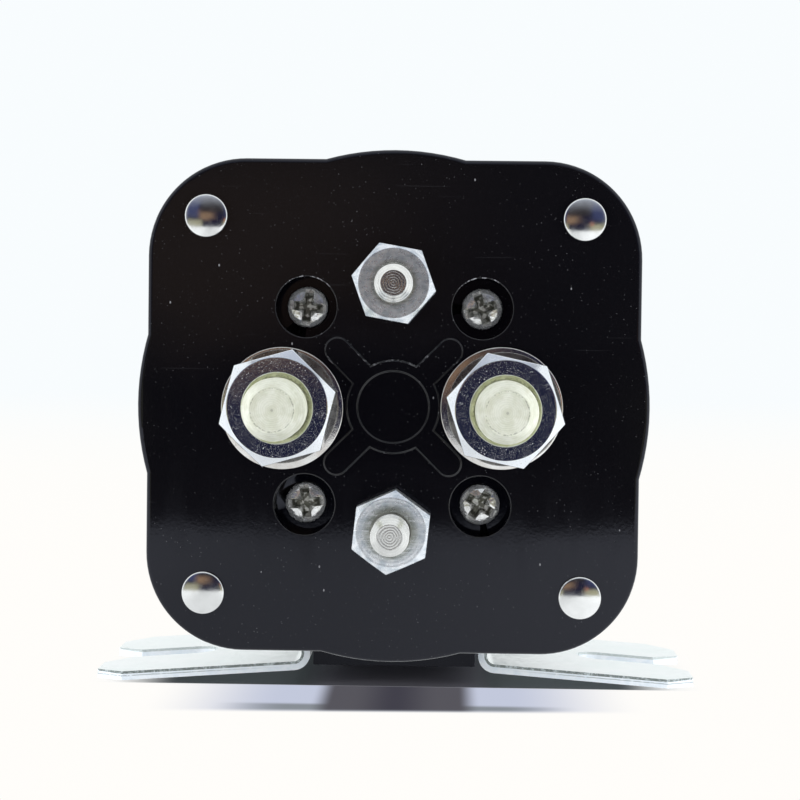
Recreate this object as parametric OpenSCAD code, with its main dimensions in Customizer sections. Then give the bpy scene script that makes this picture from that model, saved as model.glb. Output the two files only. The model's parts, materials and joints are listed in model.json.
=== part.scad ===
// Starter relay: a heavy direct-current switching relay with a moulded head,
// a coil case and a folded sheet-metal bracket. Millimetres.
// The row frame stands on the floor between the bracket's ears: +X right, +Z up,
// and the terminals point to -Y. The relay's own pieces are drawn in a second
// frame that looks at the terminal face: X right, Y up, Z out of the face, with
// the face at 0, so a negative Z is a depth inside the relay.

/* [Place] */
// Height of the relay's axis above the floor
axis_h = 40.1; // [38:0.1:46]
// Distance from the terminal face back to the middle of the bracket
face_to_bracket = 40.5; // [39:0.5:44]

/* [Head] */
// Width and height of the square part of the head
head_w = 63.9; // [62.5:0.1:65]
// Radius of the head's square corners
head_corner_r = 12.7; // [10:0.1:14]
// Diameter of the circle that bulges past the square's sides
head_circle_d = 66.4; // [65.5:0.1:68]
// Depth of the head moulding
head_depth = 16; // [15:0.5:18]
// Thickness of the head's terminal wall
head_wall = 6; // [5.6:0.1:7]
// Diameter of the contact chamber inside the head
chamber_d = 55; // [53:0.5:57]
// Rounding of the head's front edge
head_edge_r = 0.6; // [0.3:0.1:1.2]

/* [Centre pad] */
// Height of the raised ring and its arms
pad_h = 0.5; // [0.2:0.1:1]
// Outer diameter of the ring
pad_ring_d = 12; // [11:0.1:13]
// Diameter of the sunk middle of the ring
pad_dish_d = 9.3; // [8:0.1:10]
// Width of each arm
pad_arm_w = 3.2; // [2.4:0.1:4]
// Distance from the axis to the round end of an arm
pad_arm_reach = 10.3; // [9.5:0.1:11]

/* [Load terminals] */
// Distance between the two load studs
load_pitch = 28.6; // [27.6:0.1:29.6]
// Outer diameter of a load stud's thread
load_stud_d = 8; // [7.4:0.1:8.4]
// Diameter of a load stud's plain shank, and of its thread at half depth
load_shank_d = 7.2; // [6.4:0.1:7.3]
// Height of a load stud's tip above the face
load_stud_out = 18; // [15:0.5:24]
// Width of the chamfer on a load stud's tip
load_tip_chamfer = 1.3; // [0.8:0.1:1.6]
// Width across flats of a load stud's inner head
load_head_af = 13; // [12:0.1:13.4]
// Thickness of a load stud's inner head
load_head_h = 3; // [2.5:0.1:3.6]
// Outer diameter of a load washer
load_washer_d = 15.8; // [15.2:0.1:17]
// Thickness of a load washer
load_washer_t = 1.6; // [1:0.1:2]
// Gap between a load washer's bore and its stud, all round
washer_play = 0.4; // [0.3:0.05:0.6]
// Outer diameter of a split lock washer
lock_washer_d = 14.6; // [13.6:0.1:15]
// Thickness of a split lock washer
lock_washer_t = 2; // [1.4:0.1:2.4]
// Width across flats of a load nut
load_nut_af = 13.2; // [12.6:0.1:13.6]
// Height of a load nut
load_nut_h = 6.6; // [5:0.1:8]
// Diameter of the countersink at a load nut's mouth
load_nut_mouth = 9; // [8.5:0.1:9.4]
// Width of a load nut's corner chamfer
load_nut_chamfer = 1.3; // [0.6:0.1:1.5]
// Turn of the left load nut, in degrees
load_turn_left = 16; // [0:1:59]
// Turn of the right load nut, in degrees
load_turn_right = 48; // [0:1:59]

/* [Coil terminals] */
// Distance between the two coil studs
coil_pitch = 31.75; // [31:0.05:33]
// Outer diameter of a coil stud's thread
coil_stud_d = 4.83; // [4.5:0.01:5]
// Diameter of a coil stud's plain shank, and of its thread at half depth
coil_shank_d = 4.3; // [3.8:0.1:4.4]
// Height of the upper coil stud's tip above the face
coil_top_out = 6.3; // [5.6:0.1:12]
// Height of the lower coil stud's tip above the face
coil_bottom_out = 11.8; // [9:0.1:16]
// Width of the chamfer on a coil stud's tip
coil_tip_chamfer = 0.8; // [0.4:0.1:1]
// Diameter of a coil stud's inner head
coil_head_d = 8.6; // [8:0.1:9]
// Thickness of a coil stud's inner head
coil_head_h = 2.6; // [2:0.1:3]
// Chamfer of a coil stud's inner head
coil_head_chamfer = 0.5; // [0.2:0.1:1]
// Thickness of the ring that ends a coil lead on its stud
lead_ring_t = 0.8; // [0.6:0.1:1]
// Outer diameter of a coil lock washer
coil_washer_d = 8.8; // [8:0.1:9.2]
// Thickness of a coil lock washer
coil_washer_t = 1.2; // [0.8:0.1:1.6]
// Width across flats of a coil nut
coil_nut_af = 9.5; // [9:0.1:10]
// Height of a coil nut
coil_nut_h = 4; // [3:0.1:4.2]
// Diameter of the countersink at a coil nut's mouth
coil_nut_mouth = 5.9; // [5.8:0.1:6.4]
// Width of a coil nut's corner chamfer
coil_nut_chamfer = 1; // [0.4:0.1:1.1]
// Turn of the upper coil nut, in degrees
coil_turn_top = 50; // [0:1:59]
// Turn of the lower coil nut, in degrees
coil_turn_bottom = 24; // [0:1:59]

/* [Frame screws] */
// Distance between the frame screws, left to right
screw_pitch_x = 22.8; // [22.2:0.1:23.4]
// Distance between the frame screws, top to bottom
screw_pitch_y = 25.6; // [25:0.1:26.4]
// Diameter of a counterbore in the terminal face
counterbore_d = 7.9; // [7:0.1:8.2]
// Depth of a counterbore
counterbore_h = 4.9; // [4:0.1:5]
// Diameter of a screw's pan head
screw_head_d = 5.4; // [5:0.1:6.4]
// Height of a screw's pan head
screw_head_h = 1.9; // [1.5:0.1:2.4]
// Diameter of a screw's shank
screw_d = 2.84; // [2.5:0.01:3]
// Span of the cross recess in a screw's head
recess_span = 4.4; // [3.2:0.1:4.6]
// Width of the cross recess
recess_w = 1.2; // [0.8:0.1:1.4]
// Depth of the cross recess
recess_h = 1.2; // [0.8:0.1:1.4]
// Diameter of a post that carries a screw inside the head
post_d = 8.4; // [7.6:0.1:8.8]

/* [Corner rivets] */
// Distance between the corner rivets, each way
rivet_pitch = 48.9; // [47.6:0.1:49.4]
// Diameter of a rivet's domed head
rivet_head_d = 5.6; // [5:0.1:7]
// Height of a rivet's domed head
rivet_head_h = 0.85; // [0.8:0.05:1.4]
// Radius of the shallow dome
rivet_dome_r = 10.6; // [8:0.2:16]
// Rounding of the head's rim
rivet_rim_r = 0.5; // [0.3:0.05:0.5]
// Diameter of a rivet's shank
rivet_d = 3.2; // [2.6:0.1:3.6]
// Height of the end spread behind the flange
rivet_end_h = 1.2; // [0.8:0.1:1.6]
// Diameter of the end spread behind the flange
rivet_end_d = 5.2; // [4.6:0.1:6]

/* [Case] */
// Thickness of the gasket between head and case
gasket_t = 0.6; // [0.3:0.1:1]
// Thickness of the case's flange
flange_t = 5.4; // [4:0.2:6]
// Depth from the terminal face to the closed end of the case
total_depth = 74; // [72:0.5:80]
// Loss of diameter from the flange to the closed end
barrel_draft = 1.6; // [0:0.1:2]
// Thickness of the barrel's wall
barrel_wall = 2.8; // [2.2:0.1:3]
// Thickness of the closed end
end_wall = 2.6; // [2:0.1:3.5]
// Rounding of the closed end's outer edge
end_round = 5; // [3:0.5:6]
// Width of the keel under the barrel
keel_w = 22.6; // [20:0.1:23]
// Height of the keel's underside above the floor
keel_clear = 3.1; // [2.8:0.1:3.6]

/* [Bracket] */
// Distance between the inner faces of the two legs
leg_gap = 23.6; // [23:0.1:25]
// Thickness of the sheet
sheet_t = 1.25; // [1:0.05:1.5]
// Inner radius of the bend
bend_r = 1.15; // [1:0.05:1.5]
// Overall width across the ears' tips
foot_span = 84.8; // [82:0.2:88]
// Length of the bracket along the relay
bracket_len = 35; // [33:0.5:36]
// Slope of the ears towards the floor, in degrees
foot_slope = 4.2; // [3:0.1:4.6]
// Gap between a leg's top edge and the barrel above it
leg_clear = 1.06; // [0.9:0.01:1.8]
// Width of the open slot between two ears
slot_w = 7; // [6:0.1:8]
// Length of a slot from the tips to its round end
slot_len = 15.8; // [13:0.2:17.8]
// Chamfer on the ears' corners
ear_chamfer = 4; // [3:0.1:4.6]
// Diameter of a cross rivet's shank
cross_rivet_d = 3.2; // [2.8:0.1:3.4]
// Distance between the two cross rivets
cross_rivet_pitch = 20; // [16:0.5:24]
// Height of a cross rivet's head
cross_head_h = 1.3; // [1:0.1:1.6]

/* [Magnet] */
// Thickness of the pole plate and the frame's rear web
plate_t = 3; // [2.5:0.1:3.5]
// Gap between the pole plate's round ends and the barrel's inside
plate_room = 0.9; // [0.3:0.1:1.6]
// Height of the pole plate across its flats
plate_h = 36; // [34:0.5:38]
// Gap between the bobbin's flanges and the frame's side straps
coil_room = 0.5; // [0.3:0.1:1]
// Width of a side strap
strap_w = 24; // [20:0.5:25]
// Gap between the corners of the side straps and the barrel's inside
strap_room = 0.32; // [0.1:0.01:0.8]
// Gap between the flange and the pole plate behind it
plate_gap = 0.5; // [0.2:0.1:0.8]
// Space between the frame's rear web and the case's closed end
rear_space = 5.4; // [5:0.1:6.4]
// Length of the fixed core behind the pole plate
core_len = 12.5; // [11:0.1:14]
// Thickness of the bobbin's flanges
bobbin_flange_t = 1.5; // [1:0.1:2]
// Diameter of the bobbin's flanges
bobbin_flange_d = 42; // [41.6:0.1:43]
// Diameter of the bobbin's hub
bobbin_hub_d = 18.4; // [17.6:0.1:20]
// Depth of the winding below the rims of the bobbin's flanges
winding_inset = 1.2; // [0.8:0.1:3]
// Thickness of the wrap round the winding
wrap_t = 0.4; // [0.2:0.1:0.6]
// Diameter of a coil lead
lead_d = 1.2; // [0.8:0.1:1.6]

/* [Plunger] */
// Diameter of the plunger
plunger_d = 14.6; // [13.6:0.1:15]
// Wall of the guide tube
guide_wall = 0.45; // [0.3:0.05:0.6]
// Travel of the plunger
plunger_travel = 4; // [3.6:0.1:4]
// Thickness of the rubber pad behind the plunger
bumper_t = 3.35; // [2.6:0.05:4]
// Gap between the rubber pad's edge and the plunger's edge
bumper_inset = 0.5; // [0.3:0.1:1.5]
// Wall of the rim that holds the rubber pad
bumper_rim = 1.8; // [1.2:0.1:2.4]
// Height of the rim that holds the rubber pad
bumper_rim_h = 1.5; // [1:0.1:2.2]
// Diameter of the push rod
rod_d = 3.2; // [2.8:0.1:3.4]
// Depth of the rod's seat in the plunger
rod_seat = 8; // [6:0.5:10]
// Length of the rod's tip beyond its clip
rod_over = 0.4; // [0.2:0.1:0.6]
// Diameter of the rod's collar
collar_d = 7; // [6:0.1:8]
// Thickness of the rod's collar
collar_t = 1; // [0.8:0.1:1.2]
// Diameter of the clip on the rod
clip_d = 6; // [5:0.1:6.2]
// Thickness of the clip
clip_t = 0.8; // [0.6:0.1:1]

/* [Contacts] */
// Travel of the contact bridge before it meets the studs
bridge_travel = 3; // [2.6:0.1:3]
// Length of the contact bridge
bridge_len = 39; // [36:0.5:41]
// Width of the contact bridge
bridge_w = 11.6; // [10:0.1:12.4]
// Thickness of the contact bridge
bridge_t = 2; // [1.5:0.1:2.2]
// Diameter of the insulating bushes' flanges
bush_d = 8.6; // [8:0.1:9]
// Thickness of a bush's flange
bush_flange_t = 1.3; // [1:0.1:1.4]
// Wall of the front bush's neck
bush_wall = 0.9; // [0.6:0.1:1.2]
// Wire of the contact spring
contact_wire = 0.8; // [0.6:0.05:0.9]
// Wire of the return spring
return_wire = 0.6; // [0.4:0.05:0.7]
// Depth of the return spring's seat inside the terminal wall
spring_seat = 3.5; // [3:0.1:3.6]
// Step in from the centre pad's dish to the return spring's seat
seat_inset = 0.25; // [0.2:0.05:0.5]

/* [Fits] */
// Clearance round a fixed shank in its hole
hole_clear = 0.1; // [0.05:0.01:0.15]
// Clearance between moving pieces that meet at a stop
stop_clear = 0.05; // [0.02:0.01:0.1]
// Radial clearance of a sliding fit
slide_clear = 0.08; // [0.04:0.01:0.1]
// Clearance round a loose inner piece
loose_clear = 0.3; // [0.2:0.05:0.4]

/* [Hidden] */
$fn = 96;
eps = 0.01;

// Depths below the terminal face, front to back
gasket_z = -head_depth;
flange_z = gasket_z - gasket_t;
barrel_z = flange_z - flange_t;
plate_z = barrel_z - plate_gap;
plate_back = plate_z - plate_t;
end_z = -total_depth;
end_inner = end_z + end_wall;
web_back = end_inner + rear_space;
web_z = web_back + plate_t;
coil_len = plate_back - web_z;

// Load terminals
pocket_z = load_head_h / 2 - head_wall;
contact_z = pocket_z - load_head_h;
load_nut_z = load_washer_t + lock_washer_t;
load_nut_top = load_nut_z + load_nut_h;

// Contact bridge at rest, front to back
bridge_z = contact_z - bridge_travel - stop_clear;
bridge_back = bridge_z - bridge_t;
bush_z = bridge_z + bush_flange_t;
bush_back = bridge_back - bush_flange_t;
rod_hole_d = rod_d + 2 * slide_clear;
neck_d = rod_hole_d + 2 * bush_wall;

// Rod, clip and plunger at rest
clip_back = bush_z + stop_clear;
clip_z = clip_back + clip_t;
rod_tip = clip_z + rod_over;
groove_d = 0.7 * rod_d;
collar_z = barrel_z + collar_t;
core_back = plate_back - core_len;
plunger_z = core_back - plunger_travel - stop_clear;
plunger_back = end_inner + bumper_t + stop_clear;
spring_seat_z = spring_seat - head_wall;
spring_seat_d = pad_dish_d - 2 * seat_inset;

// Guide tube and bobbin
guide_d = plunger_d + 2 * slide_clear;
guide_outer = guide_d + 2 * guide_wall;
bobbin_bore = guide_outer + 2 * slide_clear;
core_neck_d = 0.68 * plunger_d;
bumper_d = plunger_d - 2 * bumper_inset;
winding_d = bobbin_flange_d - 2 * winding_inset;

// Side straps and the barrel round them
strap_span = bobbin_flange_d + 2 * (coil_room + plate_t);
strap_corner_r = sqrt(pow(strap_span / 2, 2) + pow(strap_w / 2, 2));
barrel_r = strap_corner_r + strap_room + barrel_wall + barrel_draft / 2;
barrel_end_r = barrel_r - barrel_draft / 2;
case_inner_r = barrel_r - barrel_wall;
case_inner_end_r = barrel_end_r - barrel_wall;
plate_d = 2 * (case_inner_r - plate_room);

// Rivet head: where its rim's rounding is centred and where the dome meets it
rivet_dome_z = rivet_head_h - rivet_dome_r;
rivet_rim_x = rivet_head_d / 2 - rivet_rim_r;
rivet_rim_z = rivet_dome_z + sqrt(pow(rivet_dome_r - rivet_rim_r, 2) - pow(rivet_rim_x, 2));
rivet_dome_x = rivet_rim_x * rivet_dome_r / (rivet_dome_r - rivet_rim_r);

// Coil studs, inside
lead_ring_d = coil_head_d + lead_d;
coil_head_z = -head_wall - lead_ring_t;
coil_nut_top = coil_washer_t + coil_nut_h;
lead_bend = 1.5 * lead_d;
lead_from = coil_pitch / 2 + coil_head_d / 2 + hole_clear;
lead_y = max(bobbin_flange_d / 2 + loose_clear + lead_d / 2, lead_from + lead_bend);

// Bracket
foot_half = foot_span / 2;
leg_x = leg_gap / 2;
bend_outer = bend_r + sheet_t;
bend_x = leg_x + bend_outer;
foot_rise = (foot_half - bend_x + bend_outer * sin(foot_slope)) * tan(foot_slope);
bend_z = foot_rise + bend_outer * cos(foot_slope);
leg_outer = leg_x + sheet_t;
leg_top = axis_h - sqrt(barrel_r * barrel_r - leg_outer * leg_outer) - leg_clear;
cross_rivet_h = (leg_top + bend_z) / 2;
land_t = (leg_gap - keel_w) / 2;
cross_head_d = 1.8 * cross_rivet_d;

// Places children of the face frame in the row frame
module on_face() {
    translate([0, -face_to_bracket, axis_h]) rotate([90, 0, 0]) children();
}

// Places children that point out of the face at a depth
module at_depth(z) {
    on_face() translate([0, 0, z]) children();
}

// Repeats children at the four corners of a rectangle
module four(px, py) {
    for (x = [-px / 2, px / 2], y = [-py / 2, py / 2]) translate([x, y, 0]) children();
}

// Outline of head, gasket and flange
module head_outline() {
    circle(d = head_circle_d);
    square([head_w, head_w - 2 * head_corner_r], center = true);
    square([head_w - 2 * head_corner_r, head_w], center = true);
    four(head_w - 2 * head_corner_r, head_w - 2 * head_corner_r) circle(r = head_corner_r);
}

// Half section of a slab of half width r and height h whose top edge is rounded
module edge_section(r, h, e) {
    square([r - e, h]);
    square([r, h - e]);
    translate([r - e, h - e]) circle(r = e);
}

// Bar with both long top edges rounded, along Y
module rounded_bar(w, len, h, e) {
    rotate([90, 0, 0]) linear_extrude(len, center = true) {
        edge_section(w / 2, h, e);
        mirror([1, 0]) edge_section(w / 2, h, e);
    }
}

// Head block with its front edge rounded, from z = -h to 0
module head_block(h) {
    flat = head_w - 2 * head_corner_r;
    translate([0, 0, -h]) {
        rotate_extrude() edge_section(head_circle_d / 2, h, head_edge_r);
        rounded_bar(head_w, flat, h, head_edge_r);
        rotate([0, 0, 90]) rounded_bar(head_w, flat, h, head_edge_r);
        four(flat, flat) rotate_extrude() edge_section(head_corner_r, h, head_edge_r);
    }
}

// Raised ring with four arms, from z = 0 up
module centre_pad() {
    difference() {
        union() {
            cylinder(d = pad_ring_d, h = pad_h);
            for (a = [45 : 90 : 315]) rotate([0, 0, a]) {
                translate([0, -pad_arm_w / 2, 0]) cube([pad_arm_reach, pad_arm_w, pad_h]);
                translate([pad_arm_reach, 0, 0]) cylinder(d = pad_arm_w, h = pad_h);
            }
        }
        translate([0, 0, pad_h / 2]) cylinder(d = pad_dish_d, h = pad_h);
    }
}

// Hexagonal prism by width across flats
module hex_prism(af, h) {
    cylinder(d = af / cos(30), h = h, $fn = 6);
}

// Hexagon nut with both ends chamfered and a countersunk mouth
module hex_nut(af, h, hole, mouth, chamfer) {
    corner = af / cos(30) / 2;
    sink = (mouth - hole) / 2;
    difference() {
        intersection() {
            hex_prism(af, h);
            rotate_extrude() polygon([
                [0, 0], [corner - chamfer, 0], [corner + eps, 0.6 * chamfer],
                [corner + eps, h - 0.6 * chamfer], [corner - chamfer, h], [0, h]
            ]);
        }
        translate([0, 0, -1]) cylinder(d = hole, h = h + 2);
        translate([0, 0, h - sink]) cylinder(d1 = hole, d2 = mouth + 2 * sink, h = 2 * sink);
    }
}

// Flat ring
module ring(outer, inner, h) {
    difference() {
        cylinder(d = outer, h = h);
        translate([0, 0, -1]) cylinder(d = inner, h = h + 2);
    }
}

// Split lock washer: a ring with one slanted cut
module split_ring(outer, inner, h) {
    difference() {
        ring(outer, inner, h);
        translate([outer / 4, 0, h / 2]) rotate([20, 0, 0])
            cube([outer / 2 + 1, 0.08 * outer, 2 * h], center = true);
    }
}

// Round rod with a chamfered tip, from z = from up to z = to
module rod(d, from, to, chamfer) {
    rotate_extrude() polygon([
        [0, from], [d / 2, from], [d / 2, to - chamfer], [d / 2 - chamfer, to], [0, to]
    ]);
}

// Stud: a plain shank that carries the nut, and above the nut the thread at its full
// diameter. Inside the nut both threads are drawn at half their depth.
module stud_rod(shank, d, from, nut_top, to, chamfer) {
    full = to - chamfer;
    free = min(nut_top, full);
    rotate_extrude() polygon(concat(
        [[0, from], [shank / 2, from], [shank / 2, free - (d - shank) / 2], [d / 2, free]],
        free < full ? [[d / 2, full]] : [],
        [[d / 2 - chamfer, to], [0, to]]
    ));
}

// Points of a compression spring's wire, with closed end turns
function spring_z(t, turns, wire, len) =
    let (closed = 1.04 * wire, free = len - wire - 2 * closed, mid = turns - 2)
    wire / 2 + (t < 1 ? t * closed
        : t < turns - 1 ? closed + (t - 1) / mid * free
        : closed + free + (t - turns + 1) * closed);

// Compression spring round Z, from z = 0 to len
module coil_spring(mean_d, wire, len, turns) {
    sides = 8;
    steps = 20;
    n = floor(turns * steps);
    points = [for (i = [0 : n], j = [0 : sides - 1])
        let (a = i * 360 / steps, b = j * 360 / sides, r = mean_d / 2 + wire / 2 * cos(b))
        [r * cos(a), r * sin(a), spring_z(i / steps, turns, wire, len) + wire / 2 * sin(b)]];
    walls = [for (i = [0 : n - 1], j = [0 : sides - 1])
        let (k = (j + 1) % sides)
        [i * sides + j, (i + 1) * sides + j, (i + 1) * sides + k, i * sides + k]];
    cap_a = [for (j = [0 : sides - 1]) j];
    cap_b = [for (j = [sides - 1 : -1 : 0]) n * sides + j];
    polyhedron(points, concat(walls, [cap_a, cap_b]));
}

module head() {
    color("#151518") on_face() difference() {
        union() {
            difference() {
                head_block(head_depth);
                translate([0, 0, -head_depth - 1]) cylinder(d = chamber_d, h = head_depth - head_wall + 1);
            }
            centre_pad();
            translate([0, 0, plate_z]) four(screw_pitch_x, screw_pitch_y)
                cylinder(d = post_d, h = -plate_z - head_wall + 0.5);
        }
        four(screw_pitch_x, screw_pitch_y) {
            translate([0, 0, -counterbore_h]) cylinder(d = counterbore_d, h = counterbore_h + 1);
            translate([0, 0, plate_z - 1]) cylinder(d = screw_d + 2 * hole_clear, h = -plate_z + 1);
        }
        for (s = [-1, 1]) translate([s * load_pitch / 2, 0, -head_wall - 1]) {
            cylinder(d = load_stud_d + 2 * hole_clear, h = head_wall + 2);
            hex_prism(load_head_af + 2 * hole_clear, 1 + head_wall + pocket_z);
        }
        for (s = [-1, 1]) translate([0, s * coil_pitch / 2, -head_wall - 1])
            cylinder(d = coil_stud_d + 2 * hole_clear, h = head_wall + 2);
        translate([0, 0, -head_wall - 1]) cylinder(d = spring_seat_d, h = spring_seat + 1);
        translate([0, 0, -head_depth - 1]) four(rivet_pitch, rivet_pitch)
            cylinder(d = rivet_d + 2 * hole_clear, h = head_depth + 2);
    }
}

// Solid of the barrel and its rounded closed end, for the outside and the inside
module barrel(r1, r2, z1, z2, round) {
    rotate_extrude() {
        polygon([[0, z1], [r1, z1], [r2, z2 + round], [0, z2 + round]]);
        square_w = r2 - round;
        translate([0, z2]) square([square_w, round + eps]);
        intersection() {
            translate([square_w, z2 + round]) circle(r = round);
            translate([0, z2]) square([r2, round + eps]);
        }
    }
}

module keel() {
    back = bracket_len / 2 + face_to_bracket;
    translate([-keel_w / 2, keel_clear - axis_h, -back])
        cube([keel_w, axis_h - keel_clear - barrel_r / 2, back + barrel_z + eps]);
    for (s = [-1, 1], y = [-1, 1])
        translate([s * keel_w / 2, cross_rivet_h - axis_h, y * cross_rivet_pitch / 2 - face_to_bracket])
            rotate([0, 90, 0]) cylinder(d = 2 * cross_rivet_d, h = 2 * land_t, center = true);
}

module coil_case() {
    color("#1b1b1f") on_face() difference() {
        union() {
            translate([0, 0, barrel_z]) linear_extrude(flange_t) head_outline();
            difference() {
                union() {
                    barrel(barrel_r, barrel_end_r, barrel_z + 1, end_z, end_round);
                    keel();
                }
                barrel(case_inner_r, case_inner_end_r, barrel_z + 2, end_inner, end_round - barrel_wall);
            }
            translate([0, 0, end_inner - eps]) ring(bumper_d + 2 * bumper_rim, bumper_d, bumper_rim_h);
        }
        translate([0, 0, barrel_z - 1]) cylinder(r = case_inner_r, h = flange_t + 2);
        translate([0, 0, barrel_z - 1]) four(rivet_pitch, rivet_pitch)
            cylinder(d = rivet_d + 2 * hole_clear, h = flange_t + 2);
        translate([0, 0, barrel_z - rivet_end_h - 1]) four(rivet_pitch, rivet_pitch)
            cylinder(d = rivet_end_d + 2 * hole_clear, h = rivet_end_h + 1);
        for (y = [-1, 1])
            translate([0, cross_rivet_h - axis_h, y * cross_rivet_pitch / 2 - face_to_bracket])
                rotate([0, 90, 0])
                    cylinder(d = cross_rivet_d + 2 * hole_clear, h = 2 * leg_gap, center = true);
    }
}

module gasket() {
    color("#5a3b2a") at_depth(flange_z) linear_extrude(gasket_t) difference() {
        head_outline();
        circle(d = chamber_d + 1);
        four(rivet_pitch, rivet_pitch) circle(d = rivet_d + 2 * hole_clear);
    }
}

module corner_rivets() {
    color("#d8d8dc") on_face() four(rivet_pitch, rivet_pitch) {
        translate([0, 0, barrel_z - eps]) cylinder(d = rivet_d, h = -barrel_z + 2 * eps);
        rotate_extrude() {
            square([rivet_head_d / 2, rivet_rim_z]);
            intersection() {
                translate([rivet_rim_x, rivet_rim_z]) circle(r = rivet_rim_r);
                square([rivet_head_d / 2, rivet_head_h]);
            }
            intersection() {
                translate([0, rivet_dome_z]) circle(r = rivet_dome_r);
                square([rivet_dome_x, rivet_head_h]);
            }
        }
        translate([0, 0, barrel_z - rivet_end_h])
            cylinder(d1 = (rivet_d + rivet_end_d) / 2, d2 = rivet_end_d, h = rivet_end_h);
    }
}

// Pan head with a cross recess, from z = 0 up
module pan_head(turn) {
    rim_h = 0.55 * screw_head_h;
    difference() {
        union() {
            cylinder(d = screw_head_d, h = rim_h);
            translate([0, 0, rim_h])
                cylinder(d1 = screw_head_d, d2 = 0.72 * screw_head_d, h = screw_head_h - rim_h);
        }
        rotate([0, 0, turn]) translate([0, 0, screw_head_h]) {
            cube([recess_span, recess_w, 2 * recess_h], center = true);
            cube([recess_w, recess_span, 2 * recess_h], center = true);
        }
    }
}

module frame_screws() {
    turns = [83, 19, 6, 57];
    shank_h = -plate_back - counterbore_h;
    color("#b9b7b0") on_face() for (i = [0 : 3])
        translate([(i % 2 - 0.5) * screw_pitch_x, (0.5 - floor(i / 2)) * screw_pitch_y, -counterbore_h]) {
            translate([0, 0, -shank_h]) cylinder(d = screw_d, h = shank_h + eps);
            pan_head(turns[i]);
        }
}

module load_stud(side) {
    color("#c9c79a") on_face() translate([side * load_pitch / 2, 0, 0]) {
        stud_rod(load_shank_d, load_stud_d, pocket_z - eps, load_nut_top, load_stud_out, load_tip_chamfer);
        translate([0, 0, contact_z]) intersection() {
            hex_prism(load_head_af, load_head_h);
            cylinder(d1 = load_head_af, d2 = load_head_af / cos(30) + 1.6 * load_head_h, h = load_head_h);
        }
    }
}

// The left washer hangs below its stud's axis and the right one sits to its left
module load_washer(side) {
    slip = 0.75 * washer_play;
    lean = side < 0 ? [0, -slip, 0] : [-slip, 0, 0];
    color("#cfd3d8") on_face() translate([side * load_pitch / 2, 0, 0] + lean)
        ring(load_washer_d, load_stud_d + 2 * washer_play, load_washer_t);
}

module lock_washer(side) {
    color("#aeb4bc") on_face() translate([side * load_pitch / 2, 0, load_washer_t])
        rotate([0, 0, 90 - 40 * side])
            split_ring(lock_washer_d, load_stud_d + 2 * hole_clear, lock_washer_t);
}

module load_nut(side, turn) {
    color("#dfe3ea") on_face() translate([side * load_pitch / 2, 0, load_nut_z])
        rotate([0, 0, turn])
            hex_nut(load_nut_af, load_nut_h, load_shank_d + hole_clear, load_nut_mouth, load_nut_chamfer);
}

module coil_stud(side, out) {
    color("#c4c4c0") on_face() translate([0, side * coil_pitch / 2, 0]) {
        stud_rod(coil_shank_d, coil_stud_d, coil_head_z - eps, coil_nut_top, out, coil_tip_chamfer);
        translate([0, 0, coil_head_z - coil_head_h])
            cylinder(d1 = coil_head_d - 2 * coil_head_chamfer, d2 = coil_head_d, h = coil_head_h);
    }
}

module coil_washer(side) {
    color("#b0b0ac") on_face() translate([0, side * coil_pitch / 2, 0])
        split_ring(coil_washer_d, coil_stud_d + 2 * hole_clear, coil_washer_t);
}

module coil_nut(side, turn) {
    color("#d2d4d6") on_face() translate([0, side * coil_pitch / 2, coil_washer_t])
        rotate([0, 0, turn])
            hex_nut(coil_nut_af, coil_nut_h, coil_shank_d + hole_clear, coil_nut_mouth, coil_nut_chamfer);
}

module pole_plate() {
    color("#7d8288") at_depth(plate_back) linear_extrude(plate_t) difference() {
        intersection() {
            circle(d = plate_d);
            square([plate_d, plate_h], center = true);
        }
        circle(d = core_neck_d);
        four(screw_pitch_x, screw_pitch_y) circle(d = screw_d + hole_clear);
        for (s = [-1, 1]) translate([s * (strap_span - plate_t) / 2, 0])
            square([plate_t + hole_clear, strap_w / 3 + hole_clear], center = true);
    }
}

module magnet_frame() {
    color("#6f757c") on_face() {
        difference() {
            translate([-strap_span / 2, -strap_w / 2, web_back]) cube([strap_span, strap_w, plate_t]);
            translate([0, 0, web_back - 1]) cylinder(d = guide_outer + 2 * slide_clear, h = plate_t + 2);
        }
        for (s = [-1, 1]) translate([s * (strap_span - plate_t) / 2, 0, 0]) {
            translate([-plate_t / 2, -strap_w / 2, web_z - eps]) cube([plate_t, strap_w, coil_len + eps]);
            translate([-plate_t / 2, -strap_w / 6, plate_back - eps]) cube([plate_t, strap_w / 3, plate_t]);
        }
    }
}

module fixed_core() {
    color("#8d9298") on_face() difference() {
        union() {
            translate([0, 0, core_back]) cylinder(d = guide_d - 2 * slide_clear, h = core_len);
            translate([0, 0, plate_back - eps]) cylinder(d = core_neck_d - hole_clear, h = plate_t + eps);
        }
        translate([0, 0, core_back - 1]) cylinder(d = rod_hole_d, h = core_len + plate_t + 2);
    }
}

module guide_tube() {
    color("#c8a24a") at_depth(web_back) ring(guide_outer, guide_d, plate_back - web_back);
}

module bobbin() {
    color("#d9d4c2") on_face() {
        translate([0, 0, web_z]) ring(bobbin_hub_d, bobbin_bore, coil_len);
        for (z = [web_z, plate_back - bobbin_flange_t])
            translate([0, 0, z]) ring(bobbin_flange_d, bobbin_bore, bobbin_flange_t);
    }
}

module winding() {
    color("#b5622c") at_depth(web_z + bobbin_flange_t)
        ring(winding_d, bobbin_hub_d, coil_len - 2 * bobbin_flange_t);
}

module coil_wrap() {
    color("#c9b23a") at_depth(web_z + bobbin_flange_t) difference() {
        ring(winding_d + 2 * wrap_t, winding_d, coil_len - 2 * bobbin_flange_t);
        for (s = [-1, 1]) translate([0, 0, lead_down()]) rotate([-90 * s, 0, 0])
            cylinder(d = lead_d + 2 * hole_clear, h = winding_d);
    }
}

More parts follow.
